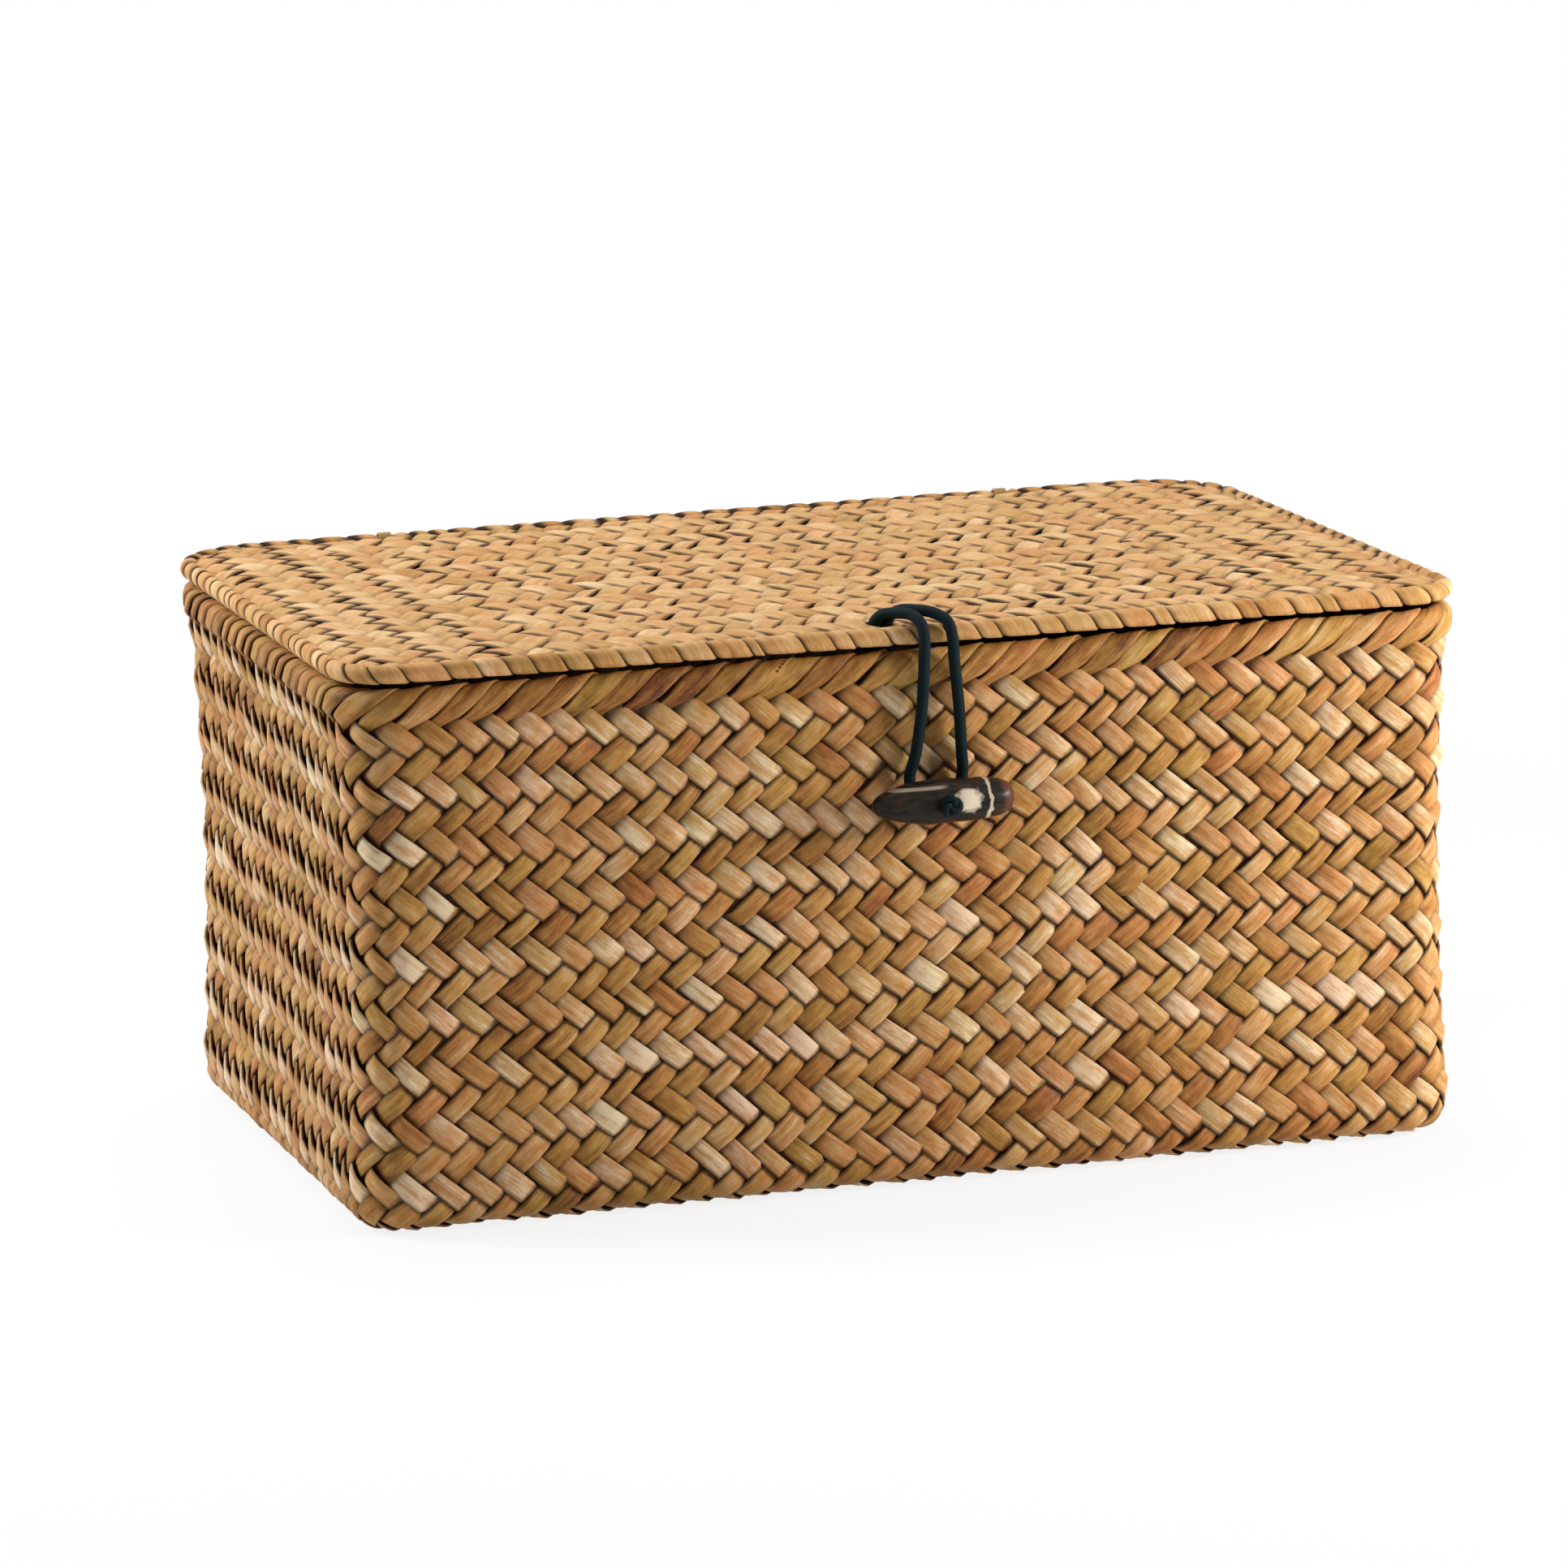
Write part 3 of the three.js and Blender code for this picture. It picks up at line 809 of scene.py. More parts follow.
@dataclass
class StripSet:
    """Parallel strips on a surface: their starts, the step from crossing to crossing, and what is over."""

    start: Array
    step: tuple[float, float]
    over: Array
    form: StripForm
    tones: ToneRange
    lift: float = 0.0
    seed: int = 1

    # The section's points: place across and rise, as shares of half the width and half the thickness, and
    # their own painted shade. Edges are the sides, from each point to the next, that are shaded flat.
    ACROSS = np.array([-1.0, -0.9, -0.2, 0.62, 0.9, 1.0, 0.85, -0.85])
    RISE = np.array([0.0, 0.84, 1.0, 1.0, 0.84, 0.0, -1.0, -1.0])
    SHADE = np.array([0.4, 0.1, 0.0, 0.0, 0.6, 0.9, 0.3, 0.3])
    EDGES = np.array([True, False, False, False, True, True, False, True])
    CAP = np.array([[0, 1, 2, 7], [7, 2, 3, 6], [6, 3, 4, 5]])
    # How thick the painted-shade strips are, how many crossings a pinched start takes, and the limit of a
    # random number.
    SHADE_STRIP_THICKNESS = 0.00016
    PINCHED = 2.6
    LIMIT = 2.2

    @cached_property
    def beat(self) -> Array:
        """Stations along a strip, counted in crossings."""
        crossings = self.over.shape[1]
        return np.linspace(0, crossings - 1, (crossings - 1) * self.form.steps + 1)

    @cached_property
    def middle(self) -> tuple[Array, Array]:
        """Middle line of every strip at every station, as U and V on the surface."""
        u = self.start[:, :1] + self.step[0] * self.beat
        v = self.start[:, 1:] + self.step[1] * self.beat
        return u, v

    @cached_property
    def span(self) -> tuple[Array, Array]:
        """The crossing before each station, and the share of the way to the next."""
        low = np.minimum(np.floor(self.beat).astype(int), self.over.shape[1] - 2)
        return low, self.beat - low

    def ride(self) -> Array:
        """Swing the strips out and in: a low crown along a run, a cosine between over and under.

        Returns:
            The swing at every station, 1 over and -1 under.
        """
        low, share = self.span
        before, after = self.over[:, low], self.over[:, low + 1]
        level = before * (1 + self.form.crown * np.sin(math.pi * share) ** 2)
        return np.where(before == after, level, before * np.cos(math.pi * share))

    @classmethod
    def shade_strips(cls, start: Array, step: tuple[float, float], spans: int, width: float) -> "StripSet":
        """Make thin dark strips side by side in the middle of a mat, so that no light comes through; their
        dark is painted shade.

        Args:
            start: Where each strip starts.
            step: From station to station.
            spans: Number of steps.
            width: A strip's width.

        Returns:
            Level strips of one dark tone, a painted shade.
        """
        still = np.zeros((len(start), spans + 1))
        form = StripForm(width, cls.SHADE_STRIP_THICKNESS, 0.0, uneven=0.0, sway=0.0, tilt=0.0, steps=1)
        return cls(start, step, still, form, ToneRange(0.1, 0.0, 0.0))

    def _floats(self, random: np.random.Generator, strips: float, floats: float) -> Array:
        """Draw a random number for every float, round one for its strip.

        Args:
            random: The generator.
            strips: Spread from strip to strip.
            floats: Spread from float to float.

        Returns:
            The numbers at every station.
        """
        runs = np.cumsum(np.diff(self.over, axis=1, prepend=self.over[:, :1]) != 0, axis=1)
        run = runs[:, np.floor(self.beat + 0.5).astype(int)]
        drawn = random.standard_normal((len(self.start), runs.max() + 1))
        each = np.clip(drawn, -self.LIMIT, self.LIMIT) * floats
        return random.normal(0, strips, (len(self.start), 1)) + np.take_along_axis(each, run, axis=1)

    def shell(self, surface: Surface, keep: Array) -> Shell:
        """Build the strips.

        A point of a strip is surface(u, v, w): U and V are the middle line plus the section's share of the
        width at right angles to it, and W is the riding height plus the section's rise. The shade is high
        where the strip dives under, on the side of a float that is turned away, and along its lower edge.

        Args:
            surface: Gives points for U, V and a height over the surface.
            keep: Which spans between stations to build, for every strip.

        Returns:
            The strips as closed ribbons, with a tone and a tint for each float and a shade for crevices.
        """
        random = np.random.default_rng(self.seed)
        strips, stations = len(self.start), len(self.beat)
        form, tones, sides = self.form, self.tones, len(self.ACROSS)
        u, v = self.middle
        length = math.hypot(*self.step)
        across = (-self.step[1] / length, self.step[0] / length)
        half = form.width / 2 * (1 + self._floats(random, form.uneven / 2, form.uneven))
        half = half * (1 - form.pinch * (1 - smooth_step(self.beat, 0.0, self.PINCHED)))
        sway = form.width * self._floats(random, form.sway / 2, form.sway)
        out = half[..., None] * self.ACROSS + sway[..., None]
        slope = form.thickness * (self._floats(random, 0.0, form.tilt)[..., None] - form.lap)
        ride = self.ride()[..., None]
        height = form.swing * ride + self.lift + self.RISE * form.thickness / 2 + slope * self.ACROSS
        points = surface(u[..., None] + across[0] * out, v[..., None] + across[1] * out, height)
        # Painted shade: dark where the strip dives under and on its hidden side, plus the section's own.
        away = np.where(self.RISE < 0, ride, -ride)
        shade = 0.85 * smooth_step(away, -0.85, 0.3) + self.SHADE
        tone = tones.middle + self._floats(random, tones.strips, tones.floats)
        tint = tones.tint + self._floats(random, tones.tint_spread / 3, tones.tint_spread)
        shift = random.uniform(0, 60, (strips, 1))
        uv = np.empty((strips, stations, sides, 2))
        uv[..., 0] = (self.beat * length * 100 + shift)[..., None]
        uv[..., 1] = (self.ACROSS + 1) / 2 + np.arange(strips)[:, None, None] * GRAIN_STEP
        values = {"tone": np.repeat(np.clip(tone, 0.02, 0.98).ravel(), sides)}
        values["tint"] = np.repeat(tint.ravel(), sides)
        values["shade"] = np.clip(shade, 0.0, 0.9).ravel()
        faces, facets = self._faces(keep)
        return Shell(points.reshape(-1, 3), [faces], uv.reshape(-1, 2), values, [facets])

    def _faces(self, keep: Array) -> tuple[Array, Array]:
        """Join the sections by quads.

        Args:
            keep: Which spans between stations to build, for every strip.

        Returns:
            The broad sides; and the narrow edges, with caps where a kept run starts or ends.
        """
        sides = len(self.ACROSS)
        stations = keep.shape[1] + 1
        ring = np.arange(len(keep))[:, None] * stations + np.arange(stations)
        first = ring[:, :-1][keep][:, None] * sides
        side = np.arange(sides)
        beyond = np.roll(side, -1)
        corners = [first + side, first + beyond, first + sides + beyond, first + sides + side]
        walls = np.stack(corners, axis=-1)
        padded = np.pad(keep, ((0, 0), (1, 1)))
        starts = ring[padded[:, 1:] & ~padded[:, :-1]][:, None, None] * sides + self.CAP[:, ::-1]
        ends = ring[padded[:, :-1] & ~padded[:, 1:]][:, None, None] * sides + self.CAP
        narrow = np.concatenate([block.reshape(-1, 4) for block in (walls[:, self.EDGES], starts, ends)])
        return walls[:, ~self.EDGES].reshape(-1, 4), narrow


def dress(piece: bpy.types.Object, finish: Finish, body: str, *nodes: str) -> bpy.types.Object:
    """Give a piece its finish, its body and the solids that it stands for.

    Args:
        piece: The object.
        finish: Its finish.
        body: The body that it rides on.
        nodes: The solids that it replaces.

    Returns:
        The same object.
    """
    piece.data.materials.append(finish.material)
    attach(piece, body)
    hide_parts(*nodes)
    LOG.info("%s: %d faces on %s", piece.name, len(piece.data.polygons), body)
    return piece


# Box


@dataclass
class PlaitedBox:
    """The four walls, the base and the rim, one slanting plait all round."""

    plan: Plan
    rim_top: float
    wall_top: float
    overhang: float
    finish: Finish
    sink: float = 0.0021
    wall: float = 0.004
    waist: float = 0.002
    foot_radius: float = 0.008
    strips: int = 110
    period: float = 0.01387
    first_row: float = 0.1244
    tucked: float = 0.0032
    left_form: StripForm = StripForm(width=0.00555, thickness=0.0011, swing=0.001, lap=0.4)
    right_form: StripForm = StripForm(width=0.0053, thickness=0.0011, swing=0.001, lap=0.2)
    left_tones: ToneRange = ToneRange(0.75, 0.03, 0.11, 0.45, 0.26)
    right_tones: ToneRange = ToneRange(0.575, 0.03, 0.09, 0.58, 0.24)
    base_height: float = 0.0019
    base_lift: float = 0.0022
    press: float = 0.3
    rim_radius: float = 0.0024
    rim_clearance: float = 0.0015
    rim_short: float = 0.0015
    rim_dive: float = 0.0028
    rim_tuck: float = 0.0008
    rim_form: StripForm = StripForm(
        0.0057, 0.0011, 0.0001, crown=0.0, uneven=0.05, tilt=0.2, lap=0.3, pinch=0.45
    )
    rim_tones: ToneRange = ToneRange(0.48, 0.1, 0.0, 0.6, 0.24)
    rim_crossings: int = 9
    base_form: StripForm = StripForm(0.0055, 0.0012, 0.0006, lap=0.2, steps=2)

    @property
    def pitch(self) -> float:
        """From strip to strip along a row."""
        return self.plan.around / self.strips

    @property
    def row(self) -> float:
        """From one row of crossings to the next."""
        return self.period / 4

    @property
    def top(self) -> float:
        """Height where the strips start, two rows above the first row that shows."""
        return self.first_row + 2 * self.row

    def surface(self, along: Array, down: Array, out: Array) -> Array:
        """The walls' middle surface.

        Down a wall the inset follows a parabola, drawn in by the waist at half height; below the foot it
        turns a quarter circle, and then runs level under the base, pressed flatter.

        Args:
            along: Distance round the box.
            down: Distance down from where the strips start.
            out: Distance along the outward normal.

        Returns:
            The points.
        """
        radius = self.foot_radius - self.sink
        face = self.overhang + self.sink
        drop = self.top - self.foot_radius
        bend = np.clip((down - drop) / radius, 0, math.pi / 2)
        out = out * (1 - self.press * np.sin(bend))
        level = np.maximum(down - drop - radius * math.pi / 2, 0)
        height = self.top - np.minimum(down, drop)
        share = 2 * (height - self.foot_radius) / (self.wall_top - self.foot_radius) - 1
        drawn = self.waist * np.clip(1 - share * share, 0, 1)
        inset = face + drawn + radius * (1 - np.cos(bend)) + level - out * np.cos(bend)
        x, y = self.plan.at(along, inset)
        return np.stack([x, y, height - (radius + out) * np.sin(bend)], axis=-1)

    def slack(self, along: Array, down: Array, out: Array) -> Array:
        """The same surface with rows that wander a little, in whole waves round the box.

        Args:
            along: Distance round the box.
            down: Distance down from where the strips start.
            out: Distance along the outward normal.

        Returns:
            The points.
        """
        turn = along * TURN / self.plan.around
        wander = 0.0005 * np.sin(11 * turn + 31 * down) + 0.0004 * np.sin(23 * turn - 47 * down + 1.0)
        sway = 0.0005 * np.sin(17 * turn + 53 * down + 2.0)
        bulge = 0.0002 * np.sin(29 * turn + 60 * down) * np.sin(7 * turn - 40 * down)
        return self.surface(along + sway, down + wander, out + bulge)

    def sets(self) -> list[tuple[StripSet, float]]:
        """The strips that run down to the right and those that run down to the left.

        Rows of crossings are level, so whether a strip is over depends on the row alone: two over, two
        under.

        Returns:
            Each set with the crossing in the middle of its first float.
        """
        reach = self.top - self.foot_radius + (self.foot_radius - self.sink) * math.pi / 2 + self.tucked
        rows = np.arange(int(reach / self.row) + 1)
        right_over = np.where((rows - 2) % 4 < 2, 1.0, -1.0)
        starts = np.arange(self.strips) * self.pitch
        made = []
        for sign, over_middle, form, tones, lift, seed in (
            (1, 2.5, self.left_form, self.left_tones, 0.0002, 11),
            (-1, 4.5, self.right_form, self.right_tones, -0.0001, 12),
        ):
            start = np.stack([starts, np.zeros_like(starts)], axis=-1)
            over = np.tile(right_over * sign, (self.strips, 1))
            step = (sign * self.pitch / 2, self.row)
            made.append((StripSet(start, step, over, form, tones, lift, seed), over_middle))
        return made

    def build_walls(self) -> None:
        """Build each wall's share of the strips, which change walls where they are under."""
        sets = self.sets()
        starts = np.stack([np.arange(self.strips) * self.pitch, np.zeros(self.strips)], axis=-1)
        spans = sets[0][0].over.shape[1] // 2
        # Dark strips under the plait: painted shade that shows through its gaps.
        shade_strips = StripSet.shade_strips(starts, (0.0, 2 * self.row), spans, self.pitch * 1.05)
        of_wall = self.plan.wall_at(starts[:, :1]) + np.zeros(len(shade_strips.beat) - 1)
        for wall in Wall:
            shells = [shade_strips.shell(self.slack, of_wall == wall.value).compact().outward()]
            for strips, over_middle in sets:
                middle = (strips.beat[:-1] + strips.beat[1:]) / 2
                float_middle = over_middle + 4 * np.floor((middle - over_middle) / 4 + 0.5)
                place = strips.start[:, :1] + strips.step[0] * float_middle
                keep = self.plan.wall_at(place) == wall.value
                if strips.step[0] < 0:
                    keep &= middle > 2
                shells.append(strips.shell(self.slack, keep).compact().outward())
            name = wall.name.lower()
            dress(Shell.join(shells).to_object(f"{name}_wall_plait"), self.finish, "box", f"{name}_wall")

    def build_base(self) -> None:
        """Build the floor as a flat plait whose border rises over the walls' turned ends."""
        border = self.overhang + self.foot_radius

        def floor(x: Array, y: Array, up: Array) -> Array:
            """A level surface, lifted near its border.

            Args:
                x: Distance to the right.
                y: Distance to the rear.
                up: Height over the mat's middle.

            Returns:
                The points.
            """
            inside = self.plan.depth_inside(x, y)
            lifted = self.base_lift * (1 - smooth_step(inside, border, border + 0.012))
            return np.stack([x, y, self.base_height + lifted + up], axis=-1)

        tones = (self.left_tones, self.right_tones)
        mat = FlatPlait(self.plan, self.pitch, self.period, self.base_form, tones=tones)
        piece = mat.shell(floor, border - 0.001).to_object("base_plait")
        dress(piece, self.finish, "box", "base_mat")

    def build_rim(self) -> None:
        """Build the strip ends folded over the rim: each climbs on the slant, over the top and down inside.

        The path across the rim goes up, round half a circle and down; near its start it dives under the
        first row that shows, and inside it stops short and tucks in.
        """
        radius, middle = self.rim_radius, self.overhang + self.wall / 2
        top = self.rim_top - radius - self.rim_clearance
        rise = top - self.first_row
        length = 2 * rise + math.pi * radius - self.rim_short

        def over_rim(along: Array, run: Array, out: Array) -> Array:
            """Up the outer face, round the top and down the inner face.

            Args:
                along: Distance round the box.
                run: Distance along the path across the rim.
                out: Distance along the outward normal.

            Returns:
                The points.
            """
            bend = np.clip((run - rise) / radius, 0, math.pi)
            fall = np.maximum(run - rise - math.pi * radius, 0)
            dive = self.rim_dive * (1 - smooth_step(run, 0.0004, 0.0046))
            dive = dive + self.rim_tuck * smooth_step(fall, 0.003, 0.008)
            reach = radius + out - dive
            x, y = self.plan.at(along, middle - reach * np.cos(bend))
            height = np.minimum(self.first_row + run, top) - fall + reach * np.sin(bend)
            return np.stack([x, y, height], axis=-1)

        lean = self.pitch / 2 / self.row
        step = length / (self.rim_crossings - 1)
        starts = (np.arange(self.strips) - 1.0) * self.pitch
        start = np.stack([starts, np.zeros_like(starts)], axis=-1)
        level = np.ones((self.strips, self.rim_crossings))
        wraps = StripSet(start, (lean * step, step), level, self.rim_form, self.rim_tones, seed=13)
        keep = np.ones((self.strips, len(wraps.beat) - 1), bool)
        piece = wraps.shell(over_rim, keep).outward().to_object("rim_wraps")
        dress(piece, self.finish, "box", "rim_binding")


@dataclass
class FlatPlait:
    """A level mat of two slanting sets of strips, cut to the plan.

    Crossing (i, j) lies at ((i + j) pitch / 2, (j - i) period / 4). In the middle a strip is over where
    (j - i) mod 4 < 2, which gives rows along X. In the end zones the rule takes i + j, and the rows run
    along Y.
    """

    plan: Plan
    pitch: float
    period: float
    form: StripForm
    end_zone: float = 0.0
    keep_outs: tuple[KeepOut, ...] = ()
    row: float = 0.005
    tones: tuple[ToneRange, ToneRange] = (ToneRange(0.73, 0.03, 0.08), ToneRange(0.68, 0.03, 0.08))
    seed: int = 21

    def shell(self, surface: Surface, inset: float) -> Shell:
        """Build the mat out to a distance in from the plan's edge.

        Args:
            surface: Gives points for X, Y and a height.
            inset: Where the strips end.

        Returns:
            All strips as one shell.
        """
        half_u, half_v = self.pitch / 2, self.period / 4
        reach = int((self.plan.length / half_u + self.plan.depth / half_v) / 4) + 2
        index = np.arange(-reach, reach + 1)
        i, j = np.meshgrid(index, index, indexing="ij")
        ends = np.abs((i + j) * half_u) > self.plan.length / 2 - self.end_zone
        over = np.where(np.where(ends, i + j, j - i) % 4 < 2, 1.0, -1.0)

        def parted(u: Array, v: Array, out: Array) -> Array:
            """Turn V towards the front, part the strips round what passes through, and lay them.

            Args:
                u: Distance to the right.
                v: Distance to the front.
                out: Height over the mat's middle.

            Returns:
                The points.
            """
            x, y = np.broadcast_arrays(u, -v)
            for place in self.keep_outs:
                x, y = place.part(x, y)
            return surface(x, y, np.broadcast_to(out, x.shape))

        shells = []
        for row, (sign, seen) in enumerate(((1, over), (-1, -over.T))):
            start = np.stack([(index - reach) * half_u, (-reach - index) * half_v * sign], axis=-1)
            step = (half_u, sign * half_v)
            strips = StripSet(start, step, seen, self.form, self.tones[row], seed=self.seed + row)
            shells.append(strips.shell(parted, self._kept(strips, inset)).compact().outward())
        rows = np.arange(-self.plan.depth / 2, self.plan.depth / 2, self.row)
        start = np.stack([np.full_like(rows, -self.plan.length / 2), rows], axis=-1)
        # Dark strips under the plait: painted shade that shows through its gaps.
        shade_strips = StripSet.shade_strips(start, (self.row, 0.0), int(self.plan.length / self.row), self.row * 1.1)
        shells.append(shade_strips.shell(parted, self._kept(shade_strips, inset)).compact().outward())
        return Shell.join(shells)

    def _kept(self, strips: StripSet, inset: float) -> Array:
        """Choose the spans of a set that lie inside the mat and clear of what passes through it.

        Args:
            strips: The set.
            inset: Where the mat ends, in from the plan's edge.

        Returns:
            Which spans to build, for every strip.
        """
        u, v = strips.middle
        x, y = (u[:, 1:] + u[:, :-1]) / 2, -(v[:, 1:] + v[:, :-1]) / 2
        keep = self.plan.depth_inside(x, y) > inset
        for place in self.keep_outs:
            keep &= place.share(x, y) > 1
        return keep


# Lid


@dataclass
class PlaitedLid:
    """The lid's mat and its rolled border.

    Knot is the X and Y of the loop's knot and ties are the X of the hinge ties. Bite is how deep the ties
    sink into the roll, and drift is how far a turn strays, as a share of its width. The middle of the turns
    whose slits are wider and painted darker, a painted shade, is given as a share of the way round.
    """

    plan: Plan
    middle: float
    roll_radius: float
    finish: Finish
    roll_finish: Finish
    knot: tuple[float, float]
    ties: tuple[float, ...]
    slot_ahead: float = 0.0013
    slot_half: tuple[float, float] = (0.0036, 0.0033)
    tie_half: tuple[float, float] = (0.0031, 0.0069)
    bite: float = 0.0009
    pitch: float = 0.0073
    period: float = 0.02
    end_zone: float = 0.055
    rise: float = 0.0008
    edge_margin: float = 0.0023
    edge_sink: float = 0.0007
    form: StripForm = StripForm(
        0.0058, 0.001, 0.00065, uneven=0.12, sway=0.06, tilt=0.2, lap=0.25, steps=3
    )
    wraps: int = 122
    wide_shaded_slits: float = 0.43
    slit: float = 0.0004
    slit_spread: float = 0.0005
    roll_tones: ToneRange = ToneRange(0.64, 0.09, 0.0, 0.45, 0.25)
    drift: float = 0.18
    lap: float = 0.00025
    skin: float = 0.00008

    @property
    def keep_outs(self) -> tuple[KeepOut, ...]:
        """The slot for the loop's cord, and a notch in from the rear edge for each hinge tie."""
        x, y = self.knot
        slot = KeepOut(x, y - self.slot_ahead, *self.slot_half, power=2.0)
        return (slot, *(KeepOut(x, self.plan.depth / 2, *self.tie_half, power=8.0) for x in self.ties))

    def build_mat(self) -> None:
        """Build the mat; its strips end inside the roll."""

        def level(x: Array, y: Array, up: Array) -> Array:
            """A level surface that wanders a little, and sinks where its strips go into the roll.

            Args:
                x: Distance to the right.
                y: Distance to the rear.
                up: Height over the mat's middle.

            Returns:
                The points.
            """
            x, y = self.plan.pulled_in(x, y, self.edge_margin)
            sunk = self.edge_sink * (1 - smooth_step(self.plan.depth_inside(x, y), 0.003, 0.009))
            wander = 0.00025 * np.sin(41 * x + 67 * y) * np.sin(59 * x - 37 * y + 1.0)
            return np.stack([x, y, self.middle + self.rise + wander - sunk + up], axis=-1)

        mat = FlatPlait(self.plan, self.pitch, self.period, self.form, self.end_zone, self.keep_outs)
        piece = mat.shell(level, self.roll_radius + 0.0003).to_object("lid_plait")
        dress(piece, self.finish, "lid", "lid_mat")

    def build_roll(self) -> None:
        """Build the border: one strip wound round the hoop, each turn lapping the next.

        With p the share of a turn's width and a the angle round the roll, the radius is full - skin -
        lap (1 - p) - slit |2p - 1|^n, and the place along the edge is (turn + p - a / 2 pi) pitches plus a
        drift. The power n is 12, and 2.5 on the turns from the right end round the rear, whose slits are
        wide; the shade value paints every slit dark, a painted shade, and those wide slits darkest. A turn
        is up to 3 percent thinner, and the bite cuts the radius at the ties.
        """
        shares = np.array([0.0, 0.04, 0.14, 0.3, 0.5, 0.7, 0.86, 0.96])
        sides = 22
        pitch = self.plan.around / self.wraps
        turn = np.arange(self.wraps)[:, None, None]
        share = shares[None, :, None]
        angle = (np.arange(sides)[None, None, :] / sides - 0.5) * TURN
        random = np.random.default_rng(31)
        drift = self.drift * random.standard_normal((self.wraps, 1, 1))
        drift = drift * (1 - share) + np.roll(drift, -1, axis=0) * share
        along = (turn + share + drift - angle / TURN) * pitch
        wide_shaded_slits = smooth_step(np.abs(turn / self.wraps - self.wide_shaded_slits), 0.28, 0.22)
        groove = np.abs(2 * share - 1) ** (12 - 9.5 * wide_shaded_slits)
        slit = self.slit + self.slit_spread * random.random((self.wraps, 1, 1))
        slit = slit * (1 - 0.2 * wide_shaded_slits)
        radius = self.roll_radius - self.skin - self.lap * (1 - share) - slit * groove
        radius = radius * (1 - 0.03 * random.random((self.wraps, 1, 1))) + 0 * angle
        x, y = self.plan.at(along, np.array(self.plan.inset))
        for tie in self.ties:
            bitten = (y > 0) * (1 - smooth_step(np.abs(x - tie), 0.0026, 0.0036))
            radius = radius - bitten * np.maximum(radius - self.roll_radius + self.bite, 0)
        x, y = self.plan.at(along, self.plan.inset - radius * np.cos(angle))
        height = self.middle + radius * np.sin(angle)
        points = np.stack([x, y, height], axis=-1).reshape(-1, 3)
        rows = self.wraps * len(shares)
        grid = np.arange(rows * sides).reshape(rows, sides)
        seam = np.roll(grid, len(shares), axis=0)[:, :1]
        here = np.concatenate([grid, seam], axis=1)
        there = np.roll(here, -1, axis=0)
        quads = np.stack([here[:, :-1], there[:, :-1], there[:, 1:], here[:, 1:]], axis=-1)
        step = np.tile(np.arange(len(shares)) % (len(shares) - 1) == 0, self.wraps)
        shape, tones = radius.shape, self.roll_tones
        tone = tones.middle + tones.strips * random.standard_normal((self.wraps, 1, 1))
        tint = tones.tint + tones.tint_spread * random.standard_normal((self.wraps, 1, 1))
        tone, tint = np.broadcast_to(tone, shape), np.broadcast_to(tint, shape)
        # Painted shade: the slits between turns are painted dark, most on the wide slits at the rear.
        shade = np.broadcast_to(np.minimum((0.9 + 1.3 * wide_shaded_slits) * groove, 0.97), shape)
        width = np.broadcast_to(share + turn * GRAIN_STEP, shape)
        girth = np.broadcast_to(angle * self.roll_radius * 100 + turn * 5.3, shape)
        uv = np.stack([girth.ravel(), width.ravel()], axis=-1)
        values = {"tone": np.clip(tone, 0.05, 0.98).ravel(), "tint": tint.ravel(), "shade": shade.ravel()}
        blocks = [block.reshape(-1, 4) for block in (quads[~step], quads[step])]
        piece = Shell(points, blocks[:1], uv, values, blocks[1:]).outward().to_object("lid_roll")
        dress(piece, self.roll_finish, "lid", "lid_border")


# Cords


class Lay(Enum):
    """How the strands of a cord lie: crossing both ways, or twisted one way."""

    BRAID = "braid"
    TWIST = "twist"


class Axis(Enum):
    """The axis that a knotted cord runs along, with a direction that the knot's line never follows."""

    Y = (0.05, 1.0, 0.03)
    Z = (0.05, 0.03, 1.0)


class Side(Enum):
    """The two ends of the rear edge."""

    LEFT = "left"
    RIGHT = "right"


@dataclass(frozen=True)
class CordForm:
    """A cord's thickness and the strands on its surface."""

    diameter: float
    lay: Lay
    strands: int = 5
    pitch: float = 0.006
    relief: float = 0.09
    sides: int = 20

    def shell(self, path: Array, aim: tuple[float, float, float], closed: bool = False) -> Shell:
        """Wrap the cord round a path.

        The radius rises on strand crowns: |cos| of a helix for a twist, the larger of two opposed helices
        for a braid.

        Args:
            path: The middle line.
            aim: A direction that the path never follows.
            closed: Whether the path closes on itself.

        Returns:
            The cord, with its relief kept as the tone value.
        """
        steps = np.linalg.norm(np.diff(path, axis=0, append=path[:1] if closed else path[-1:]), axis=1)
        run = np.concatenate([[0.0], np.cumsum(steps)[:-1]])
        pitch = run[-1] / max(1, round(run[-1] / self.pitch)) if closed else self.pitch
        angle = np.arange(self.sides)[None, :] * TURN / self.sides
        turn = TURN * run[:, None] / pitch
        half = self.strands / 2
        crown = np.abs(np.cos(half * (angle + turn)))
        if self.lay is Lay.BRAID:
            crown = np.maximum(crown, np.abs(np.cos(half * (angle - turn))))
        radius = self.diameter / 2 * (1 - self.relief * (1 - crown))
        made = tube(path, radius, Vector(aim), closed)
        spare = len(made.points) - crown.size
        made.values = {"tone": np.concatenate([crown.ravel(), np.full(spare, 0.5)])}
        return made


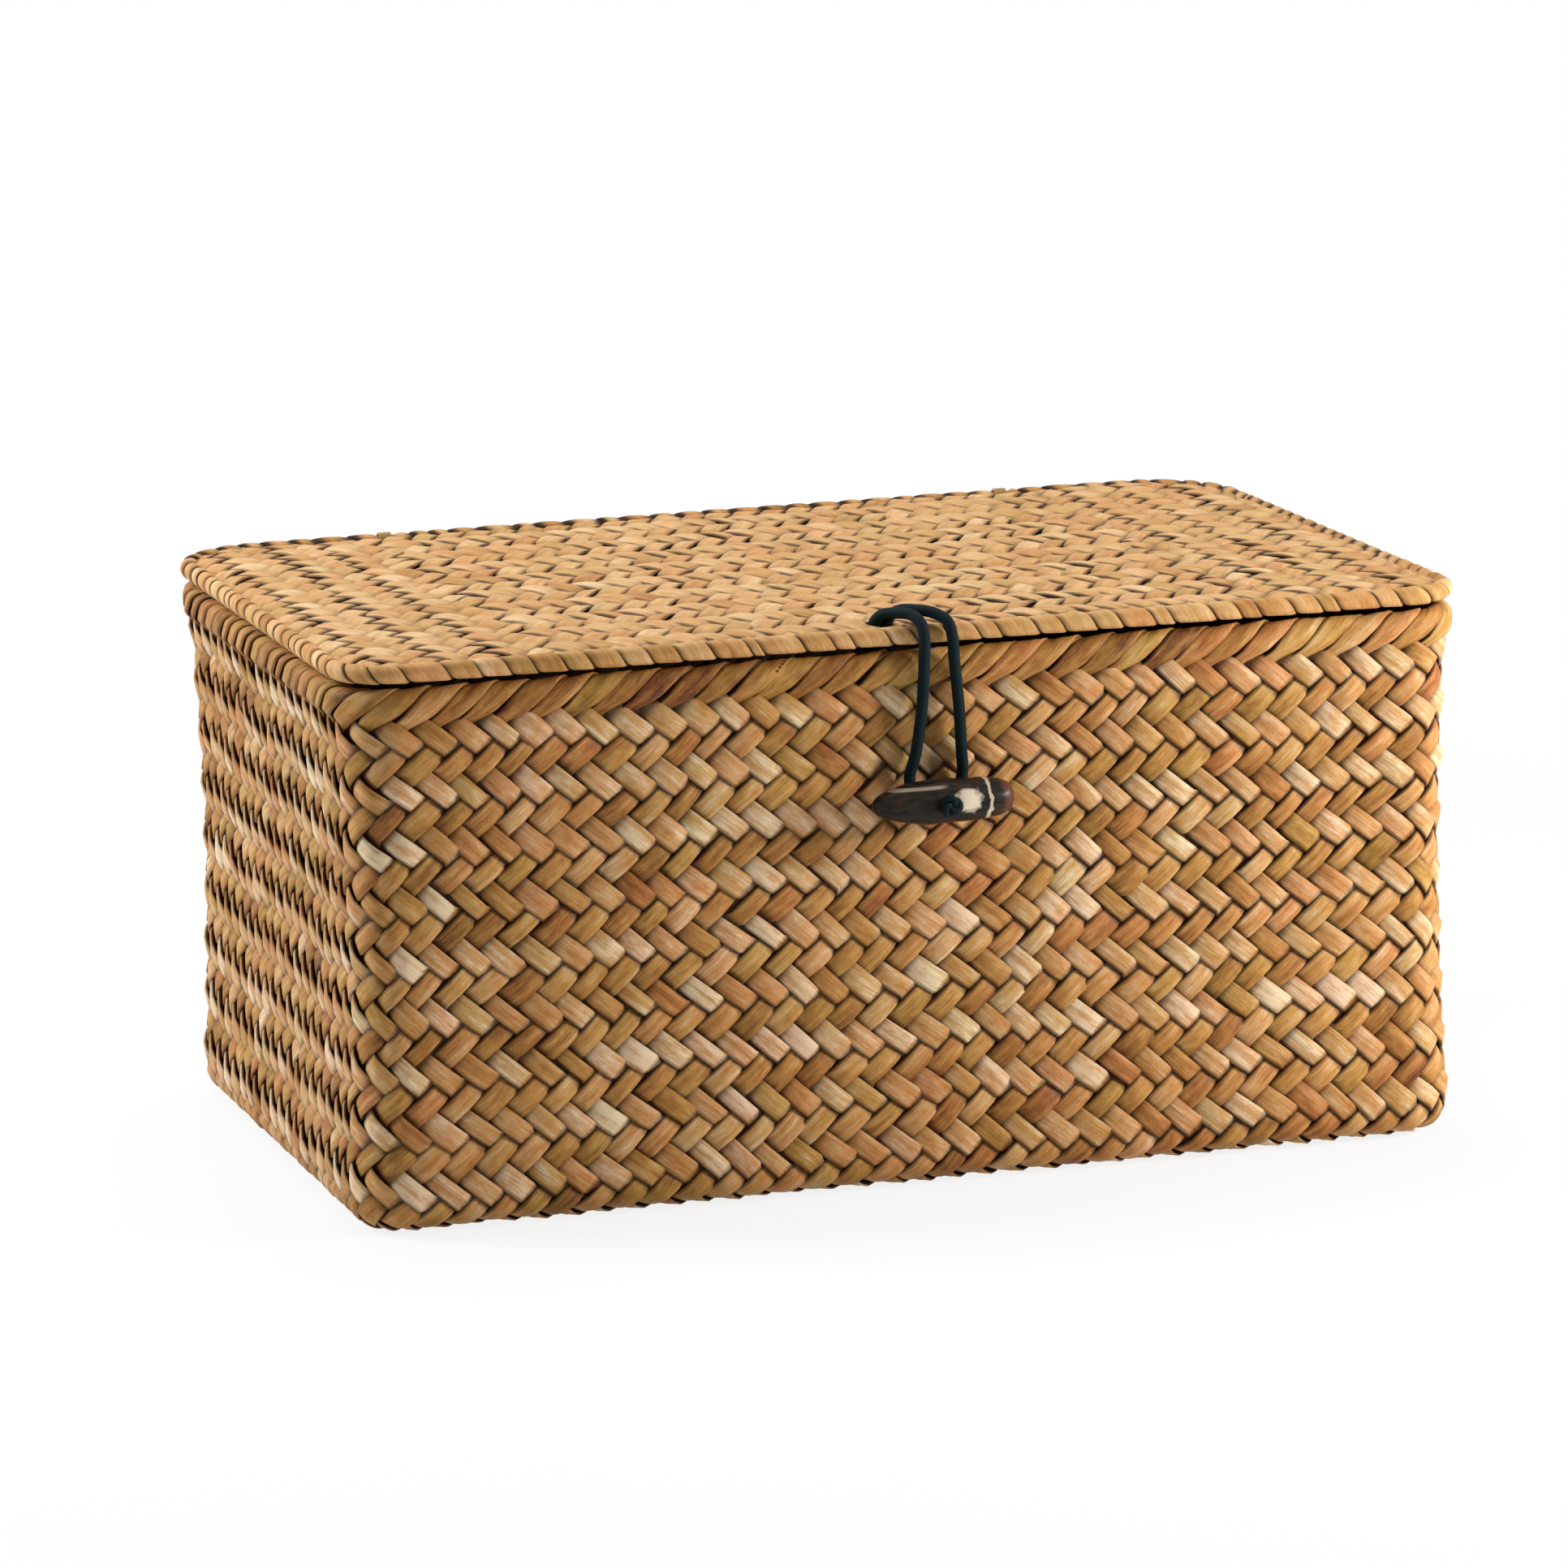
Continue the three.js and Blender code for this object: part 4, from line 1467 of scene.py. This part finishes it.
def knot_path(middle: Vector, reach: float, height: float, axis: Axis, samples: int = 120) -> Array:
    """The middle line of an overhand knot drawn tight: a trefoil.

    With t round the knot, the radius in the plane is reach (0.62 + 0.38 cos 3t) at the angle 2t, and the
    height over the plane is height sin 3t.

    Args:
        middle: The knot's middle.
        reach: Largest distance of the line from the axis.
        height: Largest height over the plane.
        axis: The axis that the cord runs along.
        samples: Points on the line.

    Returns:
        A closed line.
    """
    t = np.arange(samples) * TURN / samples
    radius = reach * (0.62 + 0.38 * np.cos(3 * t))
    flat = [radius * np.cos(2 * t), radius * np.sin(2 * t)]
    lift = height * np.sin(3 * t)
    parts = [flat[0], lift, flat[1]] if axis is Axis.Y else [flat[0], flat[1], lift]
    return np.stack(parts, axis=-1) + np.array(middle)


@dataclass
class Closure:
    """The cord loop on the lid, its stopper knot, the toggle and the toggle's cord."""

    cord: Finish
    form: CordForm = CordForm(0.0029, Lay.BRAID, strands=8, pitch=0.009)
    route: tuple[tuple[float, float, float], ...] = (
        (-0.0081, -0.0836, 0.1374),
        (-0.0080, -0.0846, 0.1406),
        (-0.0066, -0.0868, 0.1432),
        (-0.0036, -0.0900, 0.1440),
        (-0.0008, -0.0932, 0.1438),
        (0.0006, -0.0958, 0.1420),
        (0.0010, -0.0968, 0.1388),
        (0.0009, -0.0968, 0.1326),
        (0.0004, -0.0958, 0.1210),
        (-0.0010, -0.0945, 0.1096),
        (-0.0024, -0.0938, 0.1036),
        (-0.0010, -0.0936, 0.0978),
        (0.0036, -0.0935, 0.0958),
        (0.0087, -0.0936, 0.0978),
        (0.0111, -0.0938, 0.1036),
        (0.0108, -0.0945, 0.1096),
        (0.0099, -0.0958, 0.1210),
        (0.0086, -0.0968, 0.1326),
        (0.0081, -0.0970, 0.1388),
        (0.0072, -0.0962, 0.1422),
        (0.0047, -0.0938, 0.1440),
        (0.0008, -0.0906, 0.1446),
        (-0.0028, -0.0872, 0.1440),
        (-0.0047, -0.0848, 0.1412),
        (-0.0049, -0.0836, 0.1374),
    )
    aim: tuple[float, float, float] = (0.7, 0.7, 0.0)
    bend_start: tuple[float, float, float] = (0.002, -0.0880, 0.1440)
    bend_end: tuple[float, float, float] = (0.004, -0.0975, 0.1350)
    stopper_diameter: float = 0.0026
    through_diameter: float = 0.0024
    inner_diameter: float = 0.0022
    front_diameter: float = 0.0017
    toggle_taper: float = 0.0021
    toggle_dish: float = 0.0009

    def build_loop(self) -> None:
        """Build the loop along its route."""
        path = smooth_path(np.array(self.route), 16)
        piece = self.form.shell(path, self.aim).to_object("closure_cord")
        piece.data.materials.append(self.cord.material)
        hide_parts("closure_loop")
        length = float(np.linalg.norm(np.diff(path, axis=0), axis=1).sum())
        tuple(self.route[0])
        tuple(self.bend_start)
        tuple(self.bend_end)
        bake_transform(piece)
        LOG.info("%s: %.3f m long", piece.name, length)

    def _knot(self, knot: Array, diameter: float, axis: Axis, sides: int = 14) -> Shell:
        """Wrap a thinner length of the loop's cord round the line of a knot."""
        return replace(self.form, diameter=diameter, sides=sides).shell(knot, axis.value, closed=True)

    def build_stopper(self) -> None:
        """Build the knot under the lid that holds the loop's two ends."""
        low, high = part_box("loop_knot")
        diameter = self.stopper_diameter
        reach = (high.x - low.x) / 2 - diameter / 2
        path = knot_path((low + high) / 2, reach, (high.z - low.z - diameter) / 2, Axis.Z)
        shell = self._knot(path, diameter, Axis.Z)
        dress(shell.to_object("loop_stopper_knot"), self.cord, "lid", "loop_knot")

    def build_toggle_cord(self) -> None:
        """Build the cord through wall and bar, knotted in front of the bar and inside the wall."""
        low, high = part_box("toggle_cord")
        bar_low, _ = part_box("toggle_bar")
        middle = (low + high) / 2
        wide = (high.x - low.x) / 2
        ends = [(middle.x, y, middle.z) for y in (low.y + 0.001, high.y - 0.001)]
        thick = self.inner_diameter
        inner_y, front_y = high.y - thick, (low.y + bar_low.y) / 2 + 0.0002
        inner = knot_path(Vector((middle.x, inner_y, middle.z)), wide - thick / 2, thick / 2, Axis.Y)
        front = knot_path(Vector((middle.x, front_y, middle.z)), 0.0022, 0.0006, Axis.Y)
        thin = replace(self.form, diameter=self.through_diameter, sides=14)
        shells = [
            thin.shell(np.linspace(*ends, 40), (0.0, 0.0, 1.0)),
            self._knot(inner, thick, Axis.Y),
            self._knot(front, self.front_diameter, Axis.Y, sides=12),
        ]
        dress(Shell.join(shells).to_object("toggle_tie"), self.cord, "box", "toggle_cord")

    def build_toggle(self) -> None:
        """Build the bar: a barrel with rounded ends, dished where its cord goes through.

        At the share s of the half length the radius is (full - taper (s^2 - 0.4 s |s|)) (1 - |s|^9)^0.4,
        times a slow hand-carved wobble, less a small dish round the cord's hole.
        """
        low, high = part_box("toggle_bar")
        middle, half = (low + high) / 2, (high.x - low.x) / 2
        full = (high.z - low.z) / 2
        finish = HornFinish("polished_horn", "horn", tuple(middle), half, full)
        share = np.sin(np.linspace(-1, 1, 62)[1:-1] * math.pi / 2)[:, None]
        sides = 40
        angle = np.arange(sides)[None, :] * TURN / sides
        radius = full - self.toggle_taper * (share**2 - 0.4 * share * np.abs(share))
        radius = radius * (1 - np.abs(share) ** 9) ** 0.4
        wobble = 1 + 0.018 * np.sin(5 * share + 2 * angle) + 0.012 * np.sin(11 * share - 3 * angle)
        toward = np.abs(np.cos(angle)) ** 8
        hole = np.exp(-((share * half / self.through_diameter) ** 2))
        radius = radius * wobble - self.toggle_dish * toward * hole
        x = middle.x + half * share + 0 * angle
        y, z = middle.y - radius * np.cos(angle), middle.z + radius * np.sin(angle)
        points = np.stack([x, y, z], axis=-1).reshape(-1, 3)
        rows = len(share)
        tips = np.array([[low.x, middle.y, middle.z], [high.x, middle.y, middle.z]])
        points = np.concatenate([points, tips])
        uv = np.stack([np.repeat(share.ravel(), sides), np.tile(angle.ravel(), rows)], axis=-1)
        uv = np.concatenate([uv, np.zeros((2, 2))])
        faces = [ring_faces(rows, sides, False), *end_fans(rows, sides)]
        shell = Shell(points, faces, uv).outward()
        dress(shell.to_object("toggle"), finish, "toggle", "toggle_bar")


@dataclass
class HingeTies:
    """Twine lashed round the lid's rear roll and the rear rim."""

    twine: Finish
    turns: int = 5
    slack: float = 0.0004
    shoulder: float = 0.0027
    bite: float = 0.0014

    def build(self, side: Side) -> None:
        """Build one lashing: twine wound side by side on a loop with round ends, narrow above, wide below.

        The loop runs over half a circle round the roll, down past the rim's inner edge, under it on half a
        circle and straight up again; the twine's middle line goes round it at an even speed.

        Args:
            side: Which end of the rear edge.
        """
        node = f"hinge_tie_{side.value}"
        low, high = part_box(node)
        roll_low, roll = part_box("lid_border")
        _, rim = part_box("rim_binding")
        width = (high.x - low.x) / self.turns
        form = CordForm(width, Lay.TWIST, strands=3, pitch=0.0042, relief=0.16, sides=10)
        radius = (roll.z - roll_low.z) / 2
        top_y, top_z = roll.y - radius, roll.z - radius
        small = high.z - top_z - width / 2 - self.bite
        front = low.y + width / 2
        wide = (high.y - self.slack / 4 - width / 2 - front) / 2
        low_z = low.z + width / 2 + wide
        half = np.linspace(0, math.pi, 25)
        y = np.concatenate([top_y + small * np.cos(half), [front], front + wide - wide * np.cos(half)])
        bend_z = rim.z - self.shoulder
        z = np.concatenate([top_z + small * np.sin(half), [bend_z], low_z - wide * np.sin(half)])
        loop = np.stack([np.append(y, y[0]), np.append(z, z[0])], axis=-1)
        run = np.concatenate([[0.0], np.cumsum(np.linalg.norm(np.diff(loop, axis=0), axis=1))])
        lap = np.linspace(0, self.turns - 0.2, 72 * self.turns)
        place = np.mod(lap, 1.0) * run[-1]
        x = low.x + width / 2 + (self.turns - 1) * width * lap / lap[-1]
        path = np.stack([x, np.interp(place, run, loop[:, 0]), np.interp(place, run, loop[:, 1])], axis=-1)
        shell = form.shell(path, (1.0, 0.0, 0.0))
        dress(shell.to_object(f"rear_lashing_{side.value}"), self.twine, "box", node)


# Studio


def bearing(azimuth: float, elevation: float) -> Vector:
    """The direction towards a place round the box.

    Args:
        azimuth: Degrees round it; 0 is in front and 90 on the right.
        elevation: Degrees above the floor.

    Returns:
        A vector of length 1.
    """
    turn, rise = math.radians(azimuth), math.radians(elevation)
    level = math.cos(rise)
    return Vector((math.sin(turn) * level, -math.cos(turn) * level, math.sin(rise)))


@dataclass(frozen=True)
class Lamp:
    """A soft area lamp, aimed at the box."""

    name: str
    azimuth: float
    elevation: float
    distance: float
    size: float
    power: float
    colour: Colour = (1.0, 1.0, 1.0)

    def add(self, target: Vector) -> None:
        """Put the lamp on a sphere round the target.

        Args:
            target: Where it is aimed.
        """
        back = bearing(self.azimuth, self.elevation)
        data = bpy.data.lights.new(self.name, "AREA")
        data.shape, data.size, data.energy, data.color = "DISK", self.size, self.power, self.colour
        lamp = bpy.data.objects.new(self.name, data)
        lamp.location = target + back * self.distance
        lamp.rotation_euler = (-back).to_track_quat("-Z", "Y").to_euler()
        bpy.context.scene.collection.objects.link(lamp)


@dataclass(frozen=True)
class Studio:
    """Floor, light and the camera at the photograph's viewing angle."""

    azimuth: float = -17.088
    elevation: float = 11.393
    roll: float = -1.238
    distance: float = 2.023
    focal_pixels: float = 9738.9
    image_pixels: float = 1932.0
    target: tuple[float, float, float] = (0.0, 0.0, 0.06)
    shift_right: float = -0.00589
    shift_up: float = 0.02409
    sensor: float = 36.0
    ambient: float = 0.15
    lamps: tuple[Lamp, ...] = (
        Lamp("right", 57, 16, 0.6, 0.16, 3.3, (1.0, 0.97, 0.93)),
        Lamp("rear_left", -112, 34, 1.3, 0.6, 14.8, (0.92, 0.965, 1.0)),
        Lamp("top", 180, 76, 1.3, 0.8, 8.6),
    )

    def build_camera(self) -> None:
        """Aim along the fitted angles: back, right and up are the camera's axes, turned by the roll."""
        azimuth, roll = math.radians(self.azimuth), math.radians(self.roll)
        back = bearing(self.azimuth, self.elevation)
        right = Vector((math.cos(azimuth), math.sin(azimuth), 0.0))
        up = back.cross(right)
        right, up = (
            right * math.cos(roll) + up * math.sin(roll),
            up * math.cos(roll) - right * math.sin(roll),
        )
        data = bpy.data.cameras.new("camera")
        data.sensor_width = self.sensor
        data.lens = self.focal_pixels * self.sensor / self.image_pixels
        data.clip_end = 100.0
        camera = bpy.data.objects.new("camera", data)
        place = Vector(self.target) + back * self.distance + right * self.shift_right + up * self.shift_up
        turned = Matrix((right, up, back)).transposed().to_4x4()
        camera.matrix_world = Matrix.Translation(place) @ turned
        bpy.context.scene.collection.objects.link(camera)
        bpy.context.scene.camera = camera

    def build_light(self) -> None:
        """Add the lamps and a plain world that the camera and reflections see as white."""
        for lamp in self.lamps:
            lamp.add(Vector(self.target))
        world = bpy.data.worlds.new("studio")
        bpy.context.scene.world = world
        world.use_nodes = True
        board = Board(world.node_tree)
        seen = self._seen(board)
        strength = seen * (1 - self.ambient) + self.ambient
        shade = board.node("ShaderNodeBackground", None, {"Color": (1, 1, 1), "Strength": strength})
        board.node("ShaderNodeOutputWorld", None, {"Surface": shade})

    def build_floor(self) -> None:
        """A pale level floor that keeps the shadow near the box and fades to white."""
        half = 6.0
        points = np.array([[-half, -half, 0], [half, -half, 0], [half, half, 0], [-half, half, 0]], float)
        floor = Shell(points, [np.array([[0, 1, 2, 3]])], points[:, :2]).to_object("floor")
        material = bpy.data.materials.new("pale_floor")
        material.use_nodes = True
        board = Board(material.node_tree)
        place = board.node("ShaderNodeTexCoord", out=3)
        far = board.node("ShaderNodeVectorMath", {"operation": "LENGTH"}, {0: place}, out=1)
        white = self._seen(board) * (board.within(far, 0.2, 0.6) * 0.15 + 0.85)
        matt = board.node("ShaderNodeBsdfDiffuse", None, {"Color": (0.86, 0.86, 0.86)})
        glow = board.node("ShaderNodeEmission", None, {"Color": (1, 1, 1), "Strength": 1.0})
        board.surface(board.node("ShaderNodeMixShader", None, {0: white, 1: matt, 2: glow}))
        floor.data.materials.append(material)

    @staticmethod
    def _seen(board: Board) -> Wire:
        """Tell rays from the camera, and reflected or refracted ones, from the rays that light the box.

        Args:
            board: Where to add the nodes.

        Returns:
            1 on those rays, 0 on the others.
        """
        path = board.node("ShaderNodeLightPath")
        outputs = path.socket.node.outputs
        kinds = ("Is Camera Ray", "Is Glossy Ray", "Is Transmission Ray")
        camera, glossy, through = (Wire(board, outputs[kind]) for kind in kinds)
        return board.node("ShaderNodeClamp", None, {0: camera + glossy + through})


def finish_hoops(cane: Finish) -> None:
    """Give the two cane hoops inside the rim and the roll their finish.

    Args:
        cane: The finish.
    """
    for name in ("rim_hoop", "lid_hoop"):
        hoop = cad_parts[name]
        hoop.data.materials.clear()
        hoop.data.materials.append(cane.material)


def main() -> None:
    """Build the studio, the cord, the box and the lid round the frame."""
    logging.basicConfig(level=logging.INFO)
    bpy.context.scene.view_settings.view_transform = "Standard"
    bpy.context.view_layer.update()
    studio = Studio()
    studio.build_camera()
    # Valley and crown colours: painted shade between the strands and a painted sheen on them.
    dark_cord = CordFinish("dark_cord", "dark_cord", (0.0015, 0.003, 0.004), (0.004, 0.014, 0.017), 2400.0)
    closure = Closure(dark_cord)
    closure.build_loop()

    low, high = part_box("lid_border")
    roll_radius = (high.z - low.z) / 2
    corners = {"front_corner": 0.016, "rear_corner": 0.026}
    size = {"length": high.x - low.x, "depth": high.y - low.y, **corners}
    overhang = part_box("front_wall")[0].y - low.y
    wall_sedge = SedgeFinish("wall_sedge", "wall_plait", WALL_REDDISH, WALL_OLIVE)
    roll_sedge = SedgeFinish("roll_sedge", "lid_plait", LID_REDDISH, LID_OLIVE, specular=0.12)
    lid_sedge = replace(roll_sedge, name="lid_sedge", streak_tone=0.55, stain_tone=0.6)
    tops = [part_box(node)[1].z for node in ("rim_binding", "front_wall")]
    box = PlaitedBox(Plan(inset=overhang + 0.0016, **size), *tops, overhang, wall_sedge)
    box.build_walls()
    box.build_base()
    box.build_rim()

    ties = [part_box(f"hinge_tie_{side.value}") for side in Side]
    knot = sum(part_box("loop_knot"), Vector()) / 2
    lid = PlaitedLid(
        Plan(inset=roll_radius, **size),
        (low.z + high.z) / 2,
        roll_radius,
        lid_sedge,
        roll_sedge,
        knot=(knot.x, knot.y),
        ties=tuple((start.x + end.x) / 2 for start, end in ties),
    )
    lid.build_mat()
    lid.build_roll()

    closure.build_stopper()
    closure.build_toggle_cord()
    closure.build_toggle()
    # Valley and crown colours: painted shade between the strands and a painted sheen on them.
    twine = CordFinish("straw_twine", "twine", (0.16, 0.08, 0.025), (0.55, 0.34, 0.13), 2600.0, 0.8)
    lashings = HingeTies(twine)
    for side in Side:
        lashings.build(side)
    finish_hoops(CaneFinish("bare_cane", "cane"))

    studio.build_light()
    studio.build_floor()


if __name__ == "__main__":
    main()
